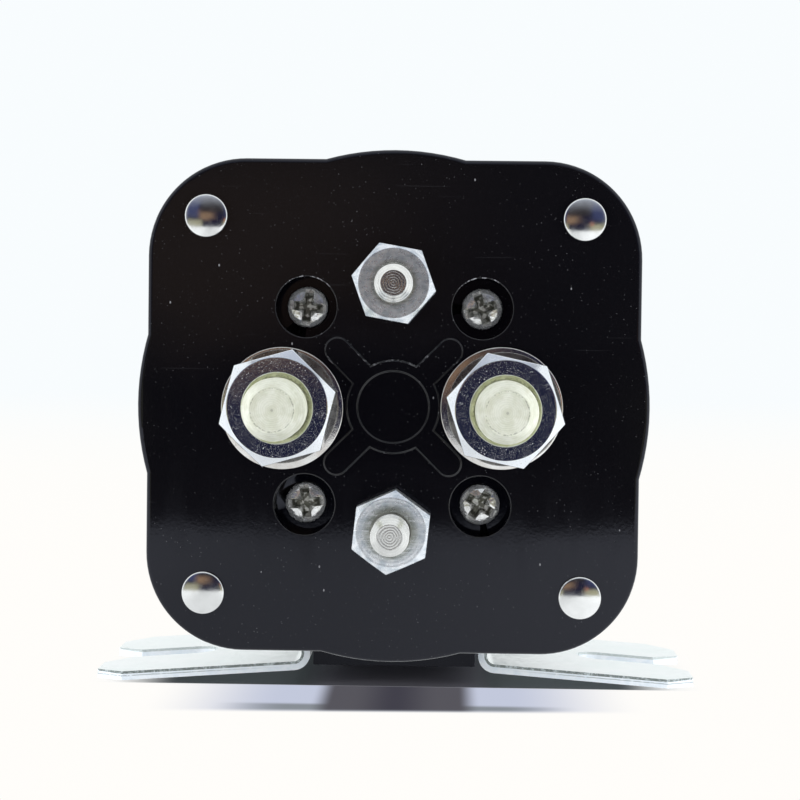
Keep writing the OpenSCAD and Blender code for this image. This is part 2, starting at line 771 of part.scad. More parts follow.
// Height above the rear bobbin flange at which the leads enter the wrap
function lead_down() = coil_len - 2 * bobbin_flange_t - 3.3 * lead_d;

// Lead's route in Y and Z with its heading in degrees: out of the ring, down past
// the pole plate and in through the wrap
function lead_route(bend, up_z, down_z) = concat(
    [[lead_from, up_z, 0]],
    [for (a = [0 : 15 : 90]) [lead_y - bend + bend * sin(a), up_z - bend + bend * cos(a), -a]],
    [for (a = [0 : 15 : 90]) [lead_y - bend + bend * cos(a), down_z + bend - bend * sin(a), -90 - a]],
    [[winding_d / 2, down_z, -180]]
);

// Round wire swept along a route in the Y-Z plane
module swept_wire(route, d) {
    sides = 8;
    points = [for (p = route, j = [0 : sides - 1])
        let (b = j * 360 / sides, out = d / 2 * sin(b))
        [-d / 2 * cos(b), p[0] - out * sin(p[2]), p[1] + out * cos(p[2])]];
    walls = [for (i = [0 : len(route) - 2], j = [0 : sides - 1])
        let (k = (j + 1) % sides)
        [i * sides + j, (i + 1) * sides + j, (i + 1) * sides + k, i * sides + k]];
    last = (len(route) - 1) * sides;
    polyhedron(points, concat(walls, [
        [for (j = [sides - 1 : -1 : 0]) j], [for (j = [0 : sides - 1]) last + j]
    ]));
}

module coil_lead(side) {
    color("#a34a28") on_face() mirror([0, side < 0 ? 1 : 0, 0]) {
        translate([0, coil_pitch / 2, -head_wall - lead_ring_t])
            ring(lead_ring_d, coil_stud_d + 2 * hole_clear, lead_ring_t);
        swept_wire(lead_route(lead_bend, -head_wall - lead_d / 2,
            web_z + bobbin_flange_t + lead_down()), lead_d);
    }
}

module plunger() {
    color("#9aa0a6") on_face() difference() {
        translate([0, 0, plunger_back]) cylinder(d = plunger_d, h = plunger_z - plunger_back);
        translate([0, 0, plunger_z - rod_seat]) cylinder(d = rod_d, h = rod_seat + 1);
        translate([0, 0, plunger_back - 1]) cylinder(d = 0.4 * plunger_d, h = 3);
    }
}

module push_rod() {
    color("#c2c6ca") on_face() difference() {
        union() {
            rod(rod_d, plunger_z - rod_seat, rod_tip, 0.3);
            translate([0, 0, collar_z - collar_t]) cylinder(d = collar_d, h = collar_t);
        }
        translate([0, 0, clip_back]) ring(rod_d + 1, groove_d, clip_t);
    }
}

module rod_clip() {
    color("#44474c") at_depth(clip_back) difference() {
        ring(clip_d, groove_d + hole_clear, clip_t);
        translate([0, -groove_d / 2, -1]) cube([clip_d, groove_d, clip_t + 2]);
    }
}

module contact_bridge() {
    color("#c77b4a") at_depth(bridge_back) linear_extrude(bridge_t) difference() {
        union() {
            square([bridge_len - bridge_w, bridge_w], center = true);
            for (s = [-1, 1]) translate([s * (bridge_len - bridge_w) / 2, 0]) circle(d = bridge_w);
        }
        circle(d = neck_d + 2 * slide_clear);
    }
}

module bush_front() {
    color("#e4dcc0") on_face() difference() {
        union() {
            translate([0, 0, bridge_z]) cylinder(d = bush_d, h = bush_flange_t);
            translate([0, 0, bridge_back + 0.1]) cylinder(d = neck_d, h = bridge_t);
        }
        translate([0, 0, bridge_back - 1]) cylinder(d = rod_hole_d, h = bridge_t + bush_flange_t + 2);
    }
}

module bush_rear() {
    color("#e4dcc0") at_depth(bush_back) ring(bush_d, rod_hole_d, bush_flange_t);
}

module contact_spring() {
    color("#8f959b") at_depth(collar_z)
        coil_spring(collar_d - contact_wire, contact_wire, bush_back - collar_z, 4.5);
}

module return_spring() {
    color("#8f959b") at_depth(bush_z)
        coil_spring(spring_seat_d - 2 * loose_clear - return_wire, return_wire, spring_seat_z - bush_z, 4.5);
}

module bumper_pad() {
    color("#2c2c2c") at_depth(end_inner)
        cylinder(d = bumper_d - 2 * hole_clear, h = plunger_back - end_inner - stop_clear);
}

// Region on the outer side of one face of the folded sheet, at a distance from the
// bend's centre line: leg, bend and sloping foot
module sheet_side(r) {
    translate([bend_x, bend_z]) {
        circle(r = r);
        translate([-r, 0]) square([foot_half, leg_top]);
        rotate(-foot_slope) translate([0, -r]) square([foot_half, leg_top]);
    }
}

// Section of one bracket half in X and Z, right-hand side
module bracket_section() {
    intersection() {
        difference() {
            sheet_side(bend_outer);
            sheet_side(bend_r);
        }
        translate([0, -leg_top]) square([foot_half, 2 * leg_top]);
    }
}

module bracket(side) {
    difference() {
        mirror([side < 0 ? 1 : 0, 0, 0]) rotate([90, 0, 0])
            linear_extrude(bracket_len, center = true) bracket_section();
        // Open slot between the two ears
        translate([side * (foot_half - slot_len + slot_w / 2), 0, -1]) cylinder(d = slot_w, h = leg_top);
        translate([side * (foot_half - slot_len / 2 + slot_w / 4 + 2), 0, leg_top / 2 - 1])
            cube([slot_len - slot_w / 2 + 4, slot_w, leg_top], center = true);
        // Chamfers on the ears' corners
        for (y = [-bracket_len / 2, -slot_w / 2, slot_w / 2, bracket_len / 2])
            translate([side * foot_half, y, leg_top / 2 - 1]) rotate([0, 0, 45])
                cube([ear_chamfer * sqrt(2), ear_chamfer * sqrt(2), leg_top], center = true);
        for (y = [-1, 1]) translate([side * (leg_x + sheet_t / 2), y * cross_rivet_pitch / 2, cross_rivet_h])
            rotate([0, 90, 0]) cylinder(d = cross_rivet_d + 2 * hole_clear, h = 3 * sheet_t, center = true);
    }
}

module cross_rivets() {
    half = leg_outer;
    color("#cdd0d4") for (y = [-1, 1]) translate([0, y * cross_rivet_pitch / 2, cross_rivet_h]) {
        rotate([0, 90, 0]) cylinder(d = cross_rivet_d, h = 2 * half + 2 * eps, center = true);
        for (s = [-1, 1]) translate([s * half, 0, 0]) rotate([0, 90 * s, 0])
            cylinder(d1 = cross_head_d, d2 = 0.6 * cross_head_d, h = cross_head_h);
    }
}

head();
coil_case();
gasket();
corner_rivets();
frame_screws();
load_stud(-1);  // load_stud_left
load_stud(1);  // load_stud_right
load_washer(-1);  // load_washer_left
load_washer(1);  // load_washer_right
lock_washer(-1);  // lock_washer_left
lock_washer(1);  // lock_washer_right
load_nut(-1, load_turn_left);  // load_nut_left
load_nut(1, load_turn_right);  // load_nut_right
coil_stud(1, coil_top_out);  // coil_stud_top
coil_stud(-1, coil_bottom_out);  // coil_stud_bottom
coil_washer(1);  // coil_washer_top
coil_washer(-1);  // coil_washer_bottom
coil_nut(1, coil_turn_top);  // coil_nut_top
coil_nut(-1, coil_turn_bottom);  // coil_nut_bottom
pole_plate();
magnet_frame();
fixed_core();
guide_tube();
bobbin();
winding();
coil_wrap();
coil_lead(1);  // coil_lead_top
coil_lead(-1);  // coil_lead_bottom
plunger();
push_rod();
rod_clip();
contact_bridge();
bush_front();
bush_rear();
contact_spring();
return_spring();
bumper_pad();
color("#c9ced2") bracket(-1);  // bracket_left
color("#c9ced2") bracket(1);  // bracket_right
cross_rivets();
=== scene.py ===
"""Dresses the starter relay for its picture.

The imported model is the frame: every piece made here sits where the model has it, in
metres, with +X right, +Z up and the terminals pointing to -Y. Sizes in the classes are
in millimetres and angles in degrees. They are named after the relay's own pieces.
"""

from __future__ import annotations

import json
import logging
import math
from collections.abc import Callable, Iterable, Sequence
from dataclasses import dataclass
from enum import Enum

import bmesh
import bpy
from mathutils import Matrix, Vector

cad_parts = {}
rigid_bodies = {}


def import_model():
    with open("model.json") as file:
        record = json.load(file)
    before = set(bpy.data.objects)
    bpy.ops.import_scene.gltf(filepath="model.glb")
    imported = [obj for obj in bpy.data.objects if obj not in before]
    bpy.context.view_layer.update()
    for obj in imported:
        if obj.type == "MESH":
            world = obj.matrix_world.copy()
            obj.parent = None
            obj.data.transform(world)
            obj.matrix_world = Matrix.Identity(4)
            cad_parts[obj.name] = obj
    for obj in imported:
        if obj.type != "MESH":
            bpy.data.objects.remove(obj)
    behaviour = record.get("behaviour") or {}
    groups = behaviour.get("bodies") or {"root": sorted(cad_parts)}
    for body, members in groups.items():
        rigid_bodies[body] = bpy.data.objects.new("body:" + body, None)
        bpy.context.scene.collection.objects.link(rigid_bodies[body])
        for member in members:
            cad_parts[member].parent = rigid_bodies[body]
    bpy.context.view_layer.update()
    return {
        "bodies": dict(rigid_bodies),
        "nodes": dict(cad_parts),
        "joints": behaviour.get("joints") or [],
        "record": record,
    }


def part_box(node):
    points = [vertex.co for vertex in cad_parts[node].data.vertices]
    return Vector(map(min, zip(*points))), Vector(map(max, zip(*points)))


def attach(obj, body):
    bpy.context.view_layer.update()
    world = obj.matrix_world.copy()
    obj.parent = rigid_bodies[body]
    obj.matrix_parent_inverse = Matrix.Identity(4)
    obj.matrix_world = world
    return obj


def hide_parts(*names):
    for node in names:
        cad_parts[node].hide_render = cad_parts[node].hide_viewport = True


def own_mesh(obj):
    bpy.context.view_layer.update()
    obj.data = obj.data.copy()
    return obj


MM = 0.001
WELD = 0.001 * MM
WELD_MM = 0.0005
FLAT_DEG = 0.6
HOUSING = "housing"
UPRIGHT = Matrix.Rotation(math.radians(90), 4, "X")

Triple = tuple[float, float, float]
Colour = Triple
Span = tuple[float, float]
Profile = Sequence[tuple[float, float]]

log = logging.getLogger("starter_relay")


class Cut(Enum):
    """How a boolean joins two solids."""

    AWAY = "DIFFERENCE"
    SHARED = "INTERSECT"
    TOGETHER = "UNION"


def opaque(colour: Colour) -> tuple[float, float, float, float]:
    """Adds full alpha to a colour."""
    return (*colour, 1.0)


def shade(colour: Colour, factor: float) -> Colour:
    """Makes a colour lighter or darker by a factor."""
    return tuple(factor * part for part in colour)


def arithmetic(operation: str, swapped: bool = False) -> Callable[[Wire, Wire | float], Wire]:
    """Makes one of the operators of Wire.

    Args:
        operation: Operation of the Math node.
        swapped: True where the wire stands to the right of the operator.

    Returns:
        The operator's method.
    """

    def method(wire: Wire, other: Wire | float) -> Wire:
        """Adds the Math node."""
        return wire.graph.maths(operation, *((other, wire) if swapped else (wire, other)))

    return method


class Wire:
    """A number socket of a shader that takes part in Python expressions."""

    __add__ = arithmetic("ADD")
    __sub__ = arithmetic("SUBTRACT")
    __mul__ = arithmetic("MULTIPLY")
    __pow__ = arithmetic("POWER")
    __radd__ = arithmetic("ADD", swapped=True)
    __rsub__ = arithmetic("SUBTRACT", swapped=True)
    __rmul__ = arithmetic("MULTIPLY", swapped=True)

    def __init__(self, graph: Graph, socket: bpy.types.NodeSocket) -> None:
        """Keeps the graph and the socket."""
        self.graph = graph
        self.socket = socket

    def absolute(self) -> Wire:
        """The value without its sign."""
        return self.graph.maths("ABSOLUTE", self)

    def or_more(self, other: Wire | float) -> Wire:
        """The larger of the two."""
        return self.graph.maths("MAXIMUM", self, other)

    def waves(self, pitch: float) -> Wire:
        """Rises and falls between 0 and 1, once every pitch."""
        return self.graph.maths("SINE", self * (2 * math.pi / pitch)) * 0.5 + 0.5

    def ramp(self, low: float, high: float) -> Wire:
        """Rises smoothly from 0 at low to 1 at high.

        Args:
            low: Value that gives 0.
            high: Value that gives 1; it may be below low.

        Returns:
            The mask, from 0 to 1.
        """
        inputs = {"Value": self, "From Min": low, "From Max": high}
        node = self.graph.node("ShaderNodeMapRange", {"interpolation_type": "SMOOTHSTEP"}, inputs)
        return self.graph.out(node, "Result")


class Graph:
    """A material under construction."""

    def __init__(self, name: str) -> None:
        """Starts an empty material.

        Args:
            name: Name of the finish.
        """
        self.material = bpy.data.materials.new(name)
        self.material.use_nodes = True
        self.tree = self.material.node_tree
        self.tree.nodes.clear()

    def node(
        self, kind: str, settings: dict | None = None, inputs: dict | None = None
    ) -> bpy.types.Node:
        """Adds a node.

        Args:
            kind: Blender's node type.
            settings: Properties that are set before any socket.
            inputs: Values, colours or wires by socket name or index.

        Returns:
            The new node.
        """
        made = self.tree.nodes.new(kind)
        for key, value in (settings or {}).items():
            setattr(made, key, value)
        for key, value in (inputs or {}).items():
            socket = made.inputs[key]
            if isinstance(value, Wire):
                self.tree.links.new(value.socket, socket)
            else:
                socket.default_value = value
        return made

    def out(self, node: bpy.types.Node, name: str | int = 0) -> Wire:
        """Wraps one of a node's outputs."""
        return Wire(self, node.outputs[name])

    def wired(self, kind: str, inputs: dict | None = None) -> Wire:
        """Adds a node and takes its first output."""
        return self.out(self.node(kind, {}, inputs))

    def maths(self, operation: str, *terms: Wire | float) -> Wire:
        """Adds a Math node over wires and numbers."""
        inputs = dict(enumerate(terms))
        return self.out(self.node("ShaderNodeMath", {"operation": operation}, inputs))

    def mix(self, factor: Wire | float, first: Wire | Colour, second: Wire | Colour) -> Wire:
        """Mixes two colours.

        Args:
            factor: 0 gives the first colour and 1 the second.
            first: Colour or wire.
            second: Colour or wire.

        Returns:
            The mixed colour.
        """
        inputs = {0: factor}
        for socket, value in ((6, first), (7, second)):
            inputs[socket] = value if isinstance(value, Wire) else opaque(value)
        return self.out(self.node("ShaderNodeMix", {"data_type": "RGBA"}, inputs), 2)

    def millimetres(
        self, centre: Vector | None = None, turn: Triple = (0, 0, 0), stretch: Triple = (1, 1, 1)
    ) -> Wire:
        """Object coordinates in millimetres round a centre.

        Args:
            centre: Point in metres that becomes the origin of the pattern.
            turn: Turn of the pattern about X, Y and Z in radians.
            stretch: Factors by which the pattern is finer along X, Y and Z.

        Returns:
            The coordinates.
        """
        place = self.out(self.node("ShaderNodeTexCoord"), "Object")
        shift = -(centre or Vector()) / MM
        inputs = {"Vector": place, "Location": shift, "Scale": (1 / MM,) * 3}
        centred = self.wired("ShaderNodeMapping", inputs)
        if turn == (0, 0, 0) and stretch == (1, 1, 1):
            return centred
        inputs = {"Vector": centred, "Rotation": turn, "Scale": stretch}
        return self.wired("ShaderNodeMapping", inputs)

    def axes(self, vector: Wire) -> tuple[Wire, Wire, Wire]:
        """Splits a vector into its three numbers."""
        made = self.node("ShaderNodeSeparateXYZ", {}, {0: vector})
        return self.out(made, 0), self.out(made, 1), self.out(made, 2)

    def noise(self, vector: Wire, scale: float, detail: float = 2, roughness: float = 0.5) -> Wire:
        """Cloudy noise.

        Args:
            vector: Coordinates.
            scale: Number of clouds a unit of the coordinates.
            detail: Octaves.
            roughness: Strength of the finer octaves.

        Returns:
            Values round 0.5.
        """
        inputs = {"Vector": vector, "Scale": scale, "Detail": detail, "Roughness": roughness}
        return self.wired("ShaderNodeTexNoise", inputs)

    def blotches(self, vector: Wire, scale: float) -> Wire:
        """Soft blotches from 0 to 1."""
        return self.noise(vector, scale, 4, 0.6).ramp(0.3, 0.7)

    def specks(self, vector: Wire, scale: float, size: float) -> Wire:
        """Small round spots at random places.

        Args:
            vector: Coordinates.
            scale: Cells a unit of the coordinates.
            size: Radius of a spot as a share of its cell.

        Returns:
            1 inside a spot and 0 outside.
        """
        cells = self.node("ShaderNodeTexVoronoi", {}, {"Vector": vector, "Scale": scale})
        return self.out(cells, "Distance").ramp(size, 0.6 * size)

    def bump(self, height: Wire, depth: float, before: Wire | None = None) -> Wire:
        """Turns a height into a normal.

        Args:
            height: Height from 0 to 1.
            depth: Depth in millimetres that a height of 1 stands for.
            before: Normal that this one adds to.

        Returns:
            The normal.
        """
        inputs = {"Height": height, "Distance": depth * MM}
        if before:
            inputs["Normal"] = before
        return self.wired("ShaderNodeBump", inputs)

    def surface(
        self,
        base: Wire,
        roughness: Wire | float,
        normal: Wire,
        metallic: Wire | float = 0.0,
        ior: float = 1.5,
        tint: Colour = (1, 1, 1),
    ) -> bpy.types.Material:
        """Closes the material with one surface shader.

        Args:
            base: Base colour.
            roughness: Roughness.
            normal: Normal with its bumps.
            metallic: Share of bare metal.
            ior: Index of refraction of what isn't metal.
            tint: Tint of its reflections.

        Returns:
            The finished material.
        """
        inputs = {
            "Base Color": base, "Roughness": roughness, "Normal": normal, "Metallic": metallic,
            "IOR": ior, "Specular Tint": opaque(tint),
        }
        shader = self.wired("ShaderNodeBsdfPrincipled", inputs)
        self.node("ShaderNodeOutputMaterial", {}, {"Surface": shader})
        return self.material

    def by_ray(self, camera: Wire, glossy: Wire, other: Wire) -> bpy.types.Material:
        """Closes a stage material that differs by kind of ray.

        Args:
            camera: Shader that the camera sees.
            glossy: Shader that reflections see.
            other: Shader for every other ray.

        Returns:
            The finished material.
        """
        path = self.node("ShaderNodeLightPath")
        seen = other
        for ray, shader in (("Is Glossy Ray", glossy), ("Is Camera Ray", camera)):
            seen = self.wired("ShaderNodeMixShader", {0: self.out(path, ray), 1: seen, 2: shader})
        self.node("ShaderNodeOutputMaterial", {}, {"Surface": seen})
        return self.material


@dataclass(frozen=True)
class Phenolic:
    """Black moulded phenolic with a polished skin, dust and a few fine scratches."""

    name: str
    colour: Colour = (0.0024, 0.0022, 0.0026)
    roughness: float = 0.065
    dull: float = 0.04
    ripple: float = 0.002
    dust: float = 0.8
    ior: float = 1.46
    cool: Colour = (0.80, 0.83, 1.0)
    hair_colour: Colour = (0.05, 0.05, 0.055)
    dust_colour: Colour = (0.22, 0.22, 0.23)

    def paint(self) -> bpy.types.Material:
        """Builds the material.

        Returns:
            The finished material.
        """
        g = Graph(self.name)
        place = g.millimetres()
        smears = g.noise(g.millimetres(turn=(0.3, 0.5, 0.2), stretch=(1, 0.4, 0.25)), 0.35, 4)
        patches = g.noise(place, 0.12, 2).ramp(0.42, 0.66)
        fine_dust = g.specks(place, 1.6, 0.1) * (0.3 + 0.7 * patches)
        lint = g.specks(g.millimetres(turn=(0.4, 0.9, 0.3), stretch=(1, 1, 0.6)), 0.32, 0.04)
        dust = (fine_dust * 0.6).or_more(lint) * self.dust
        flow = g.millimetres(turn=(0.2, 0.9, 0.1), stretch=(0.05, 1, 1.6))
        hairs = g.noise(flow, 1.4, 1).ramp(0.76, 0.785)
        base = g.mix(g.noise(place, 0.06, 3), self.colour, shade(self.colour, 1.7))
        marked = g.mix(hairs * 0.1, base, self.hair_colour)
        dusted = g.mix(dust, marked, self.dust_colour)
        rough = self.roughness + self.dull * smears.ramp(0.45, 0.8) + 0.35 * dust
        waves = g.bump(g.noise(place, 0.09, 1), 20 * self.ripple)
        skin = g.bump(g.noise(place, 2.2, 2), self.ripple, waves)
        return g.surface(dusted, rough, skin, ior=self.ior, tint=self.cool)


@dataclass(frozen=True)
class GlintedEdge:
    """Rounded edge of the moulding: dark, with short bright marks, part wear chips and part painted
    glints.

    The painted glints are densest above bore_top, on the counterbores' upper arcs, and there are
    some above ring_top, on the centre ring's.
    """

    name: str
    centre: Vector
    colour: Colour = (0.006, 0.006, 0.008)
    painted_glint: Colour = (0.42, 0.42, 0.45)
    bore_top: Span = (15.0, 16.4)
    ring_top: Span = (4.6, 5.8)
    ring_end: Span = (7.0, 6.4)

    def paint(self) -> bpy.types.Material:
        """Builds the material.

        Returns:
            The finished material.
        """
        g = Graph(self.name)
        place = g.millimetres(self.centre)
        _, _, up = g.axes(place)
        ring = up.ramp(*self.ring_top) * up.ramp(*self.ring_end) * 0.4
        arcs = up.ramp(*self.bore_top).or_more(ring)
        # Painted glints on the upper arcs of the counterbores and of the centre ring.
        painted_arc_glints = g.noise(place, 1.3, 3, 0.7).ramp(0.5, 0.64) * arcs
        patches = g.noise(place, 0.11, 1).ramp(0.44, 0.6)
        # Loose bright marks along every rounded edge: part wear chips, part painted glints.
        loose = g.noise(place, 1.1, 3, 0.7).ramp(0.64, 0.72) * patches
        chips_and_glints = painted_arc_glints.or_more(loose * 0.7)
        base = g.mix(chips_and_glints * 0.9, self.colour, self.painted_glint)
        return g.surface(base, 0.2 + 0.2 * chips_and_glints, g.bump(g.noise(place, 2.5, 2), 0.02), ior=1.6)


@dataclass(frozen=True)
class Plating:
    """Plated metal: a colour and a roughness that wander, fine pits, and specks that glint."""

    name: str
    colour: Colour
    tint: Colour
    roughness: float = 0.22
    wear: float = 0.15
    blotch: float = 0.35
    pits: float = 0.006
    pit_scale: float = 5.0
    sparkle: float = 0.0
    metallic: float = 1.0

    def paint(self) -> bpy.types.Material:
        """Builds the material.

        Returns:
            The finished material.
        """
        g = Graph(self.name)
        place = g.millimetres()
        base = g.mix(g.blotches(place, self.blotch), self.colour, self.tint)
        rough = self.roughness + self.wear * g.noise(place, 1.1, 3).ramp(0.35, 0.75)
        normal = g.bump(g.noise(place, self.pit_scale, 3, 0.7), self.pits)
        metallic = self.metallic
        if self.sparkle:
            marks = self.marks(g, place) * self.sparkle
            metallic = self.metallic - marks
            rough = rough + marks * 0.4
        return g.surface(base, rough, normal, metallic)

    def marks(self, g: Graph, place: Wire) -> Wire:
        """Coarse and fine specks, grain and brushed scuffs.

        Args:
            g: Material under construction.
            place: Coordinates in millimetres.

        Returns:
            1 in the middle of a mark and 0 outside.
        """
        coarse = g.specks(place, 1.9, 0.12) * g.noise(place, 0.5, 2).ramp(0.35, 0.6)
        fine = g.specks(place, 4.6, 0.23) * g.noise(place, 0.9, 2).ramp(0.28, 0.58)
        grain = g.noise(place, 8.0, 2).ramp(0.56, 0.76)
        brushed = g.millimetres(turn=(0, 0.7, 0), stretch=(0.25, 1, 3))
        scuffs = g.noise(brushed, 1.2, 3).ramp(0.62, 0.74)
        return coarse.or_more(fine * 0.75 + grain * 0.25).or_more(scuffs * 0.08)


@dataclass(frozen=True)
class TurnedPlating:
    """Plated metal faced on a lathe: rings round one axis that points out of the face.

    The dark ring's radius places a broken dark line with a dark dot at its centre; in a nut's mouth
    that line is painted shade in the crease round the thread. The mouth shade's radius is that of
    the dull, brushed middle, painted darker as shade round a nut's mouth.
    Neither is there where its radius is 0.
    """

    name: str
    colour: Colour
    tint: Colour
    centre: Vector
    roughness: float = 0.2
    ring_pitch: float = 0.42
    ring_depth: float = 0.012
    metallic: float = 1.0
    ring_tint: float = 0.12
    dark_ring_r: float = 0.0
    dark_ring_w: float = 0.12
    dark_ring_colour: Colour = (0.18, 0.18, 0.13)
    mouth_shade_r: float = 0.0
    mouth_shade_colour: Colour = (0.22, 0.23, 0.16)
    bright: Colour = (0.95, 0.97, 1.0)

    def paint(self) -> bpy.types.Material:
        """Builds the material.

        Returns:
            The finished material.
        """
        g = Graph(self.name)
        place = g.millimetres(self.centre)
        across, _, up = g.axes(place)
        radius = (across * across + up * up) ** 0.5
        rings = (radius + g.noise(place, 0.6, 3, 0.6) * 0.5).waves(self.ring_pitch)
        base = g.mix(g.blotches(place, 0.8), self.colour, self.tint)
        base = g.mix(rings * self.ring_tint, base, shade(self.colour, 0.55))
        if self.mouth_shade_r:
            # Painted shade round the nut's mouth, darkest near the stud.
            mouth_shade = radius.ramp(self.mouth_shade_r, 0.72 * self.mouth_shade_r)
            base = g.mix(mouth_shade * (0.45 + 0.5 * g.noise(place, 0.7, 2)), base, self.mouth_shade_colour)
            brushed = g.noise(g.millimetres(self.centre, (0, 0.9, 0), (0.3, 1, 3)), 1.3, 3, 0.6)
            base = g.mix(brushed.ramp(0.46, 0.7) * 0.6, base, self.bright)
        # Broken dark ring and centre dot; in a nut's mouth the ring is painted shade round the
        # thread.
        if self.dark_ring_r:
            off = (radius + 0.3 * g.noise(place, 1.1, 2) - self.dark_ring_r - 0.15).absolute()
            broken = g.noise(place, 2.4, 3, 0.7).ramp(0.46, 0.6)
            line = off.ramp(self.dark_ring_w, 0.3 * self.dark_ring_w) * broken
            dot = radius.ramp(2 * self.dark_ring_w, self.dark_ring_w)
            base = g.mix(line.or_more(dot * 0.7) * 0.6, base, self.dark_ring_colour)
        rough = self.roughness + 0.12 * g.noise(place, 1.7, 3)
        normal = g.bump(rings + g.noise(place, 6, 2) * 0.5, self.ring_depth)
        return g.surface(base, rough, normal, self.metallic)


@dataclass(frozen=True)
class Moulded:
    """Plain moulded or pressed material, neither polished nor metal."""

    name: str
    colour: Colour
    roughness: float = 0.5
    grain: float = 0.01
    grain_scale: float = 3.0

    def paint(self) -> bpy.types.Material:
        """Builds the material.

        Returns:
            The finished material.
        """
        g = Graph(self.name)
        place = g.millimetres()
        base = g.mix(g.noise(place, 0.3, 3), shade(self.colour, 0.8), shade(self.colour, 1.15))
        grain = g.noise(place, self.grain_scale, 3)
        rough = self.roughness + 0.15 * (grain - 0.5)
        return g.surface(base, rough, g.bump(grain, self.grain))


@dataclass(frozen=True)
class Wound:
    """Turns of wire or tape laid side by side along Y."""

    name: str
    colour: Colour
    metallic: float
    pitch: float
    roughness: float = 0.3

    def paint(self) -> bpy.types.Material:
        """Builds the material.

        Returns:
            The finished material.
        """
        g = Graph(self.name)
        place = g.millimetres()
        _, along, _ = g.axes(place)
        turns = along.waves(self.pitch)
        # Each turn is painted darker towards its edges, as shade in the grooves between turns.
        base = g.mix(turns, shade(self.colour, 0.45), self.colour)
        base = g.mix(g.noise(place, 0.4, 2) * 0.3, base, shade(self.colour, 0.7))
        return g.surface(base, self.roughness, g.bump(turns, 0.2 * self.pitch), self.metallic)


@dataclass(frozen=True)
class SoiledNickel:
    """Nickel of the screw heads: bright on the rim, darker low in the recess, with painted glints.
    """

    name: str
    seat_y: float
    head_h: float
    metal: Colour = (0.88, 0.88, 0.86)
    metal_light: Colour = (1.0, 1.0, 0.99)
    recess_dark: Colour = (0.07, 0.07, 0.04)
    glint: Colour = (0.85, 0.85, 0.80)

    def paint(self) -> bpy.types.Material:
        """Builds the material.

        Returns:
            The finished material.
        """
        g = Graph(self.name)
        place = g.millimetres()
        _, along, _ = g.axes(place)
        # Darker low on the head and in the recess, by height above the seat.
        recess_dark = (self.seat_y - along).ramp(0.74 * self.head_h, 0.45 * self.head_h)
        stains = g.noise(place, 0.9, 4, 0.65).ramp(0.6, 0.7)
        recess_dark_and_stains = (recess_dark * 0.8 + stains * 0.25).ramp(0.0, 1.0)
        metal = g.mix(g.noise(place, 1.6, 3).ramp(0.35, 0.65), self.metal, self.metal_light)
        # Painted glints low in the recess.
        glints = g.noise(place, 1.5, 2, 0.6).ramp(0.5, 0.58) * recess_dark
        base = g.mix(glints * 0.8, g.mix(recess_dark_and_stains, metal, self.recess_dark), self.glint)
        dents = g.bump(g.noise(place, 1.1, 2), 0.09)
        normal = g.bump(g.noise(place, 4, 3), 0.012, dents)
        return g.surface(base, 0.15 + 0.25 * recess_dark_and_stains, normal, 0.8)


@dataclass(frozen=True)
class ShearedEdge:
    """Bright sheared edge of a foot, with the thin line where the cut turned into a break."""

    name: str
    half_span: float
    slope_deg: float
    break_h: float = 0.6
    metal: Colour = (0.78, 0.85, 0.91)
    metal_light: Colour = (0.90, 0.94, 0.975)
    line: Colour = (0.20, 0.23, 0.24)

    def paint(self) -> bpy.types.Material:
        """Builds the material.

        Returns:
            The finished material.
        """
        g = Graph(self.name)
        place = g.millimetres()
        across, along, up = g.axes(place)
        side = across.absolute()
        foot_z = (self.half_span - side) * math.tan(math.radians(self.slope_deg))
        wander = 0.12 * g.noise(place, 0.7, 2) - 0.06
        line = (up - foot_z - self.break_h + wander).absolute().ramp(0.11, 0.03) * side.ramp(14, 30)
        broken = line * g.noise(place, 1.8, 3).ramp(0.2, 0.5) * along.ramp(-8, -14)
        metal = g.mix(g.blotches(place, 0.8), self.metal, self.metal_light)
        base = g.mix(broken * 0.6, metal, self.line)
        rough = 0.45 + 0.15 * g.noise(place, 1.1, 3)
        return g.surface(base, rough, g.bump(g.noise(place, 1.6, 3), 0.012), 0.25)


@dataclass(frozen=True)
class RolledEdgeShade:
    """Ragged painted shade along the rolled-over upper edge of a punched sheet, fainter at the
    back.
    """

    name: str
    dark: Colour = (0.20, 0.23, 0.22)
    light: Colour = (0.66, 0.72, 0.74)
    faint: Colour = (0.74, 0.80, 0.79)

    def paint(self) -> bpy.types.Material:
        """Builds the material.

        Returns:
            The finished material.
        """
        g = Graph(self.name)
        place = g.millimetres()
        _, along, _ = g.axes(place)
        ragged = g.noise(place, 2.6, 4, 0.7).ramp(0.46, 0.68)
        # Painted shade on the rolled-over edge, fading towards the back.
        base = g.mix(0.7 * along.ramp(-15, -5), g.mix(ragged, self.dark, self.light), self.faint)
        return g.surface(base, 0.4 + 0.2 * ragged, g.bump(g.noise(place, 3.5, 3), 0.08), 0.5)


